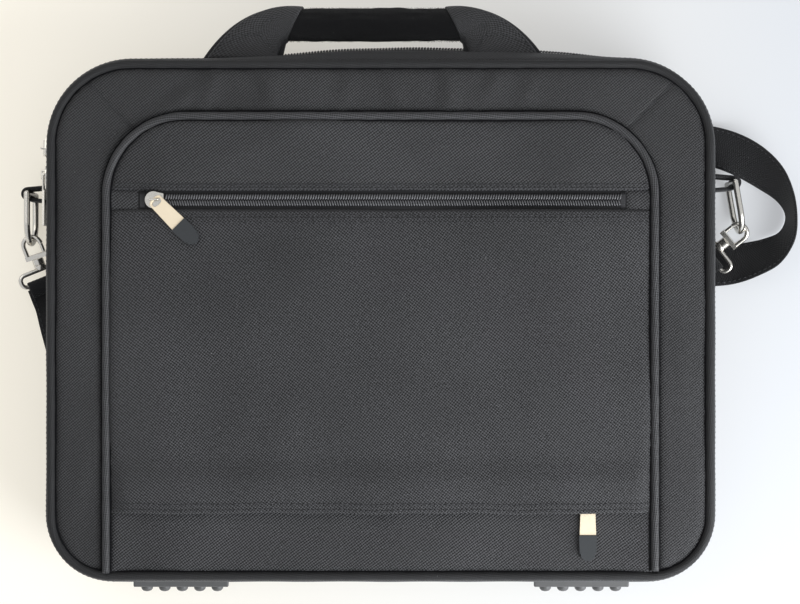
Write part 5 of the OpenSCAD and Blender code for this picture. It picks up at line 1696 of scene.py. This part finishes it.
class BRIEFCASE_OT_stage(bpy.types.Operator):
    """Pale table, soft lamps and the camera over the case"""

    bl_idname = "briefcase.stage"
    bl_label = "Stage"

    def execute(self, context):
        scene = context.scene
        corners = [(x * TABLE, y * TABLE, TABLE_Z) for x, y in ((-1, -1), (1, -1), (1, 1), (-1, 1))]
        table = mesh_object("table", corners, [[0, 1, 2, 3]])
        material, tree, skin = new_material("table_top")
        place = tree.nodes.new("ShaderNodeTexCoord")
        parts = tree.nodes.new("ShaderNodeSeparateXYZ")
        tree.links.new(place.outputs["Object"], parts.inputs[0])
        share = tree.nodes.new("ShaderNodeMapRange")
        share.inputs["From Min"].default_value, share.inputs["From Max"].default_value = -0.24, 0.26
        tree.links.new(parts.outputs["X"], share.inputs["Value"])
        # The table runs from pale and warm at the left to darker and bluish at the right: painted light and
        # shade across it.
        tone = mix_colour(tree, share.outputs[0], (0.97, 0.94, 0.88, 1), (0.66, 0.68, 0.705, 1))
        tree.links.new(tone, skin.inputs["Base Color"])
        skin.inputs["Roughness"].default_value = 0.7
        skin.inputs["Specular IOR Level"].default_value = 0.2
        # what the camera sees of the table is lifted towards white by a painted glow, brighter and warmer at
        # the left; a share of the shadow stays
        glow = tree.nodes.new("ShaderNodeEmission")
        lift = mix_colour(tree, share.outputs[0], (1.18, 1.10, 0.92, 1), (0.72, 0.74, 0.78, 1))
        tree.links.new(lift, glow.inputs["Color"])
        rays = tree.nodes.new("ShaderNodeLightPath")
        mixed = tree.nodes.new("ShaderNodeMixShader")
        tree.links.new(maths(tree, "MULTIPLY", rays.outputs["Is Camera Ray"], 0.45), mixed.inputs["Fac"])
        tree.links.new(skin.outputs[0], mixed.inputs[1])
        tree.links.new(glow.outputs[0], mixed.inputs[2])
        output = next(n for n in tree.nodes if n.type == "OUTPUT_MATERIAL")
        tree.links.new(mixed.outputs[0], output.inputs["Surface"])
        table.data.materials.append(material)
        world = bpy.data.worlds.new("Room")
        scene.world = world
        world.use_nodes = True
        world.node_tree.nodes["Background"].inputs["Color"].default_value = (0.95, 0.97, 1.0, 1)
        world.node_tree.nodes["Background"].inputs["Strength"].default_value = 0.68
        for name, place, size, power, tint in LAMPS:
            lamp = bpy.data.lights.new(name, "AREA")
            lamp.size, lamp.energy, lamp.color = size, power, tint
            obj = bpy.data.objects.new(name, lamp)
            obj.location = place
            obj.rotation_euler = (-Vector(place)).to_track_quat("-Z", "Y").to_euler()
            scene.collection.objects.link(obj)
        camera = bpy.data.cameras.new("photo_camera")
        camera.lens, camera.sensor_width = 76.0, 36.0
        camera.clip_start = 0.01
        obj = bpy.data.objects.new("photo_camera", camera)
        obj.location = CAMERA_AT
        scene.collection.objects.link(obj)
        scene.camera = obj
        scene.view_settings.view_transform = "Standard"
        return {"FINISHED"}


PIECES = (
    BRIEFCASE_OT_finishes, BRIEFCASE_OT_stage, BRIEFCASE_OT_strap, BRIEFCASE_OT_back_panel,
    BRIEFCASE_OT_linings, BRIEFCASE_OT_gussets, BRIEFCASE_OT_piping, BRIEFCASE_OT_main_zip,
    BRIEFCASE_OT_front_frame, BRIEFCASE_OT_middle_panels, BRIEFCASE_OT_small_zips, BRIEFCASE_OT_front_handle,
    BRIEFCASE_OT_grip, BRIEFCASE_OT_back_handle, BRIEFCASE_OT_ring_tabs, BRIEFCASE_OT_feet,
    BRIEFCASE_OT_hardware,
)


class BRIEFCASE_PT_pieces(bpy.types.Panel):
    """Lists the sizes, the colours and the pieces of the briefcase"""

    bl_idname = "BRIEFCASE_PT_pieces"
    bl_label = "Briefcase"
    bl_space_type = "VIEW_3D"
    bl_region_type = "UI"
    bl_category = "Briefcase"

    def draw(self, context):
        for title, settings in (("Sizes", sizes()), ("Colours", colours())):
            box = self.layout.box()
            box.label(text=title)
            for name in settings.__annotations__:
                box.prop(settings, name)
        column = self.layout.column()
        for piece in PIECES:
            column.operator(piece.bl_idname)


CLASSES = (BriefcaseSizes, BriefcaseColours) + PIECES + (BRIEFCASE_PT_pieces,)


def register():
    for cls in CLASSES:
        bpy.utils.register_class(cls)
    bpy.types.Scene.briefcase_sizes = bpy.props.PointerProperty(type=BriefcaseSizes)
    bpy.types.Scene.briefcase_colours = bpy.props.PointerProperty(type=BriefcaseColours)


def unregister():
    del bpy.types.Scene.briefcase_colours
    del bpy.types.Scene.briefcase_sizes
    for cls in reversed(CLASSES):
        bpy.utils.unregister_class(cls)


def main():
    register()
    for piece in PIECES:
        group, name = piece.bl_idname.split(".")
        getattr(getattr(bpy.ops, group), name)()


if __name__ == "__main__":
    main()
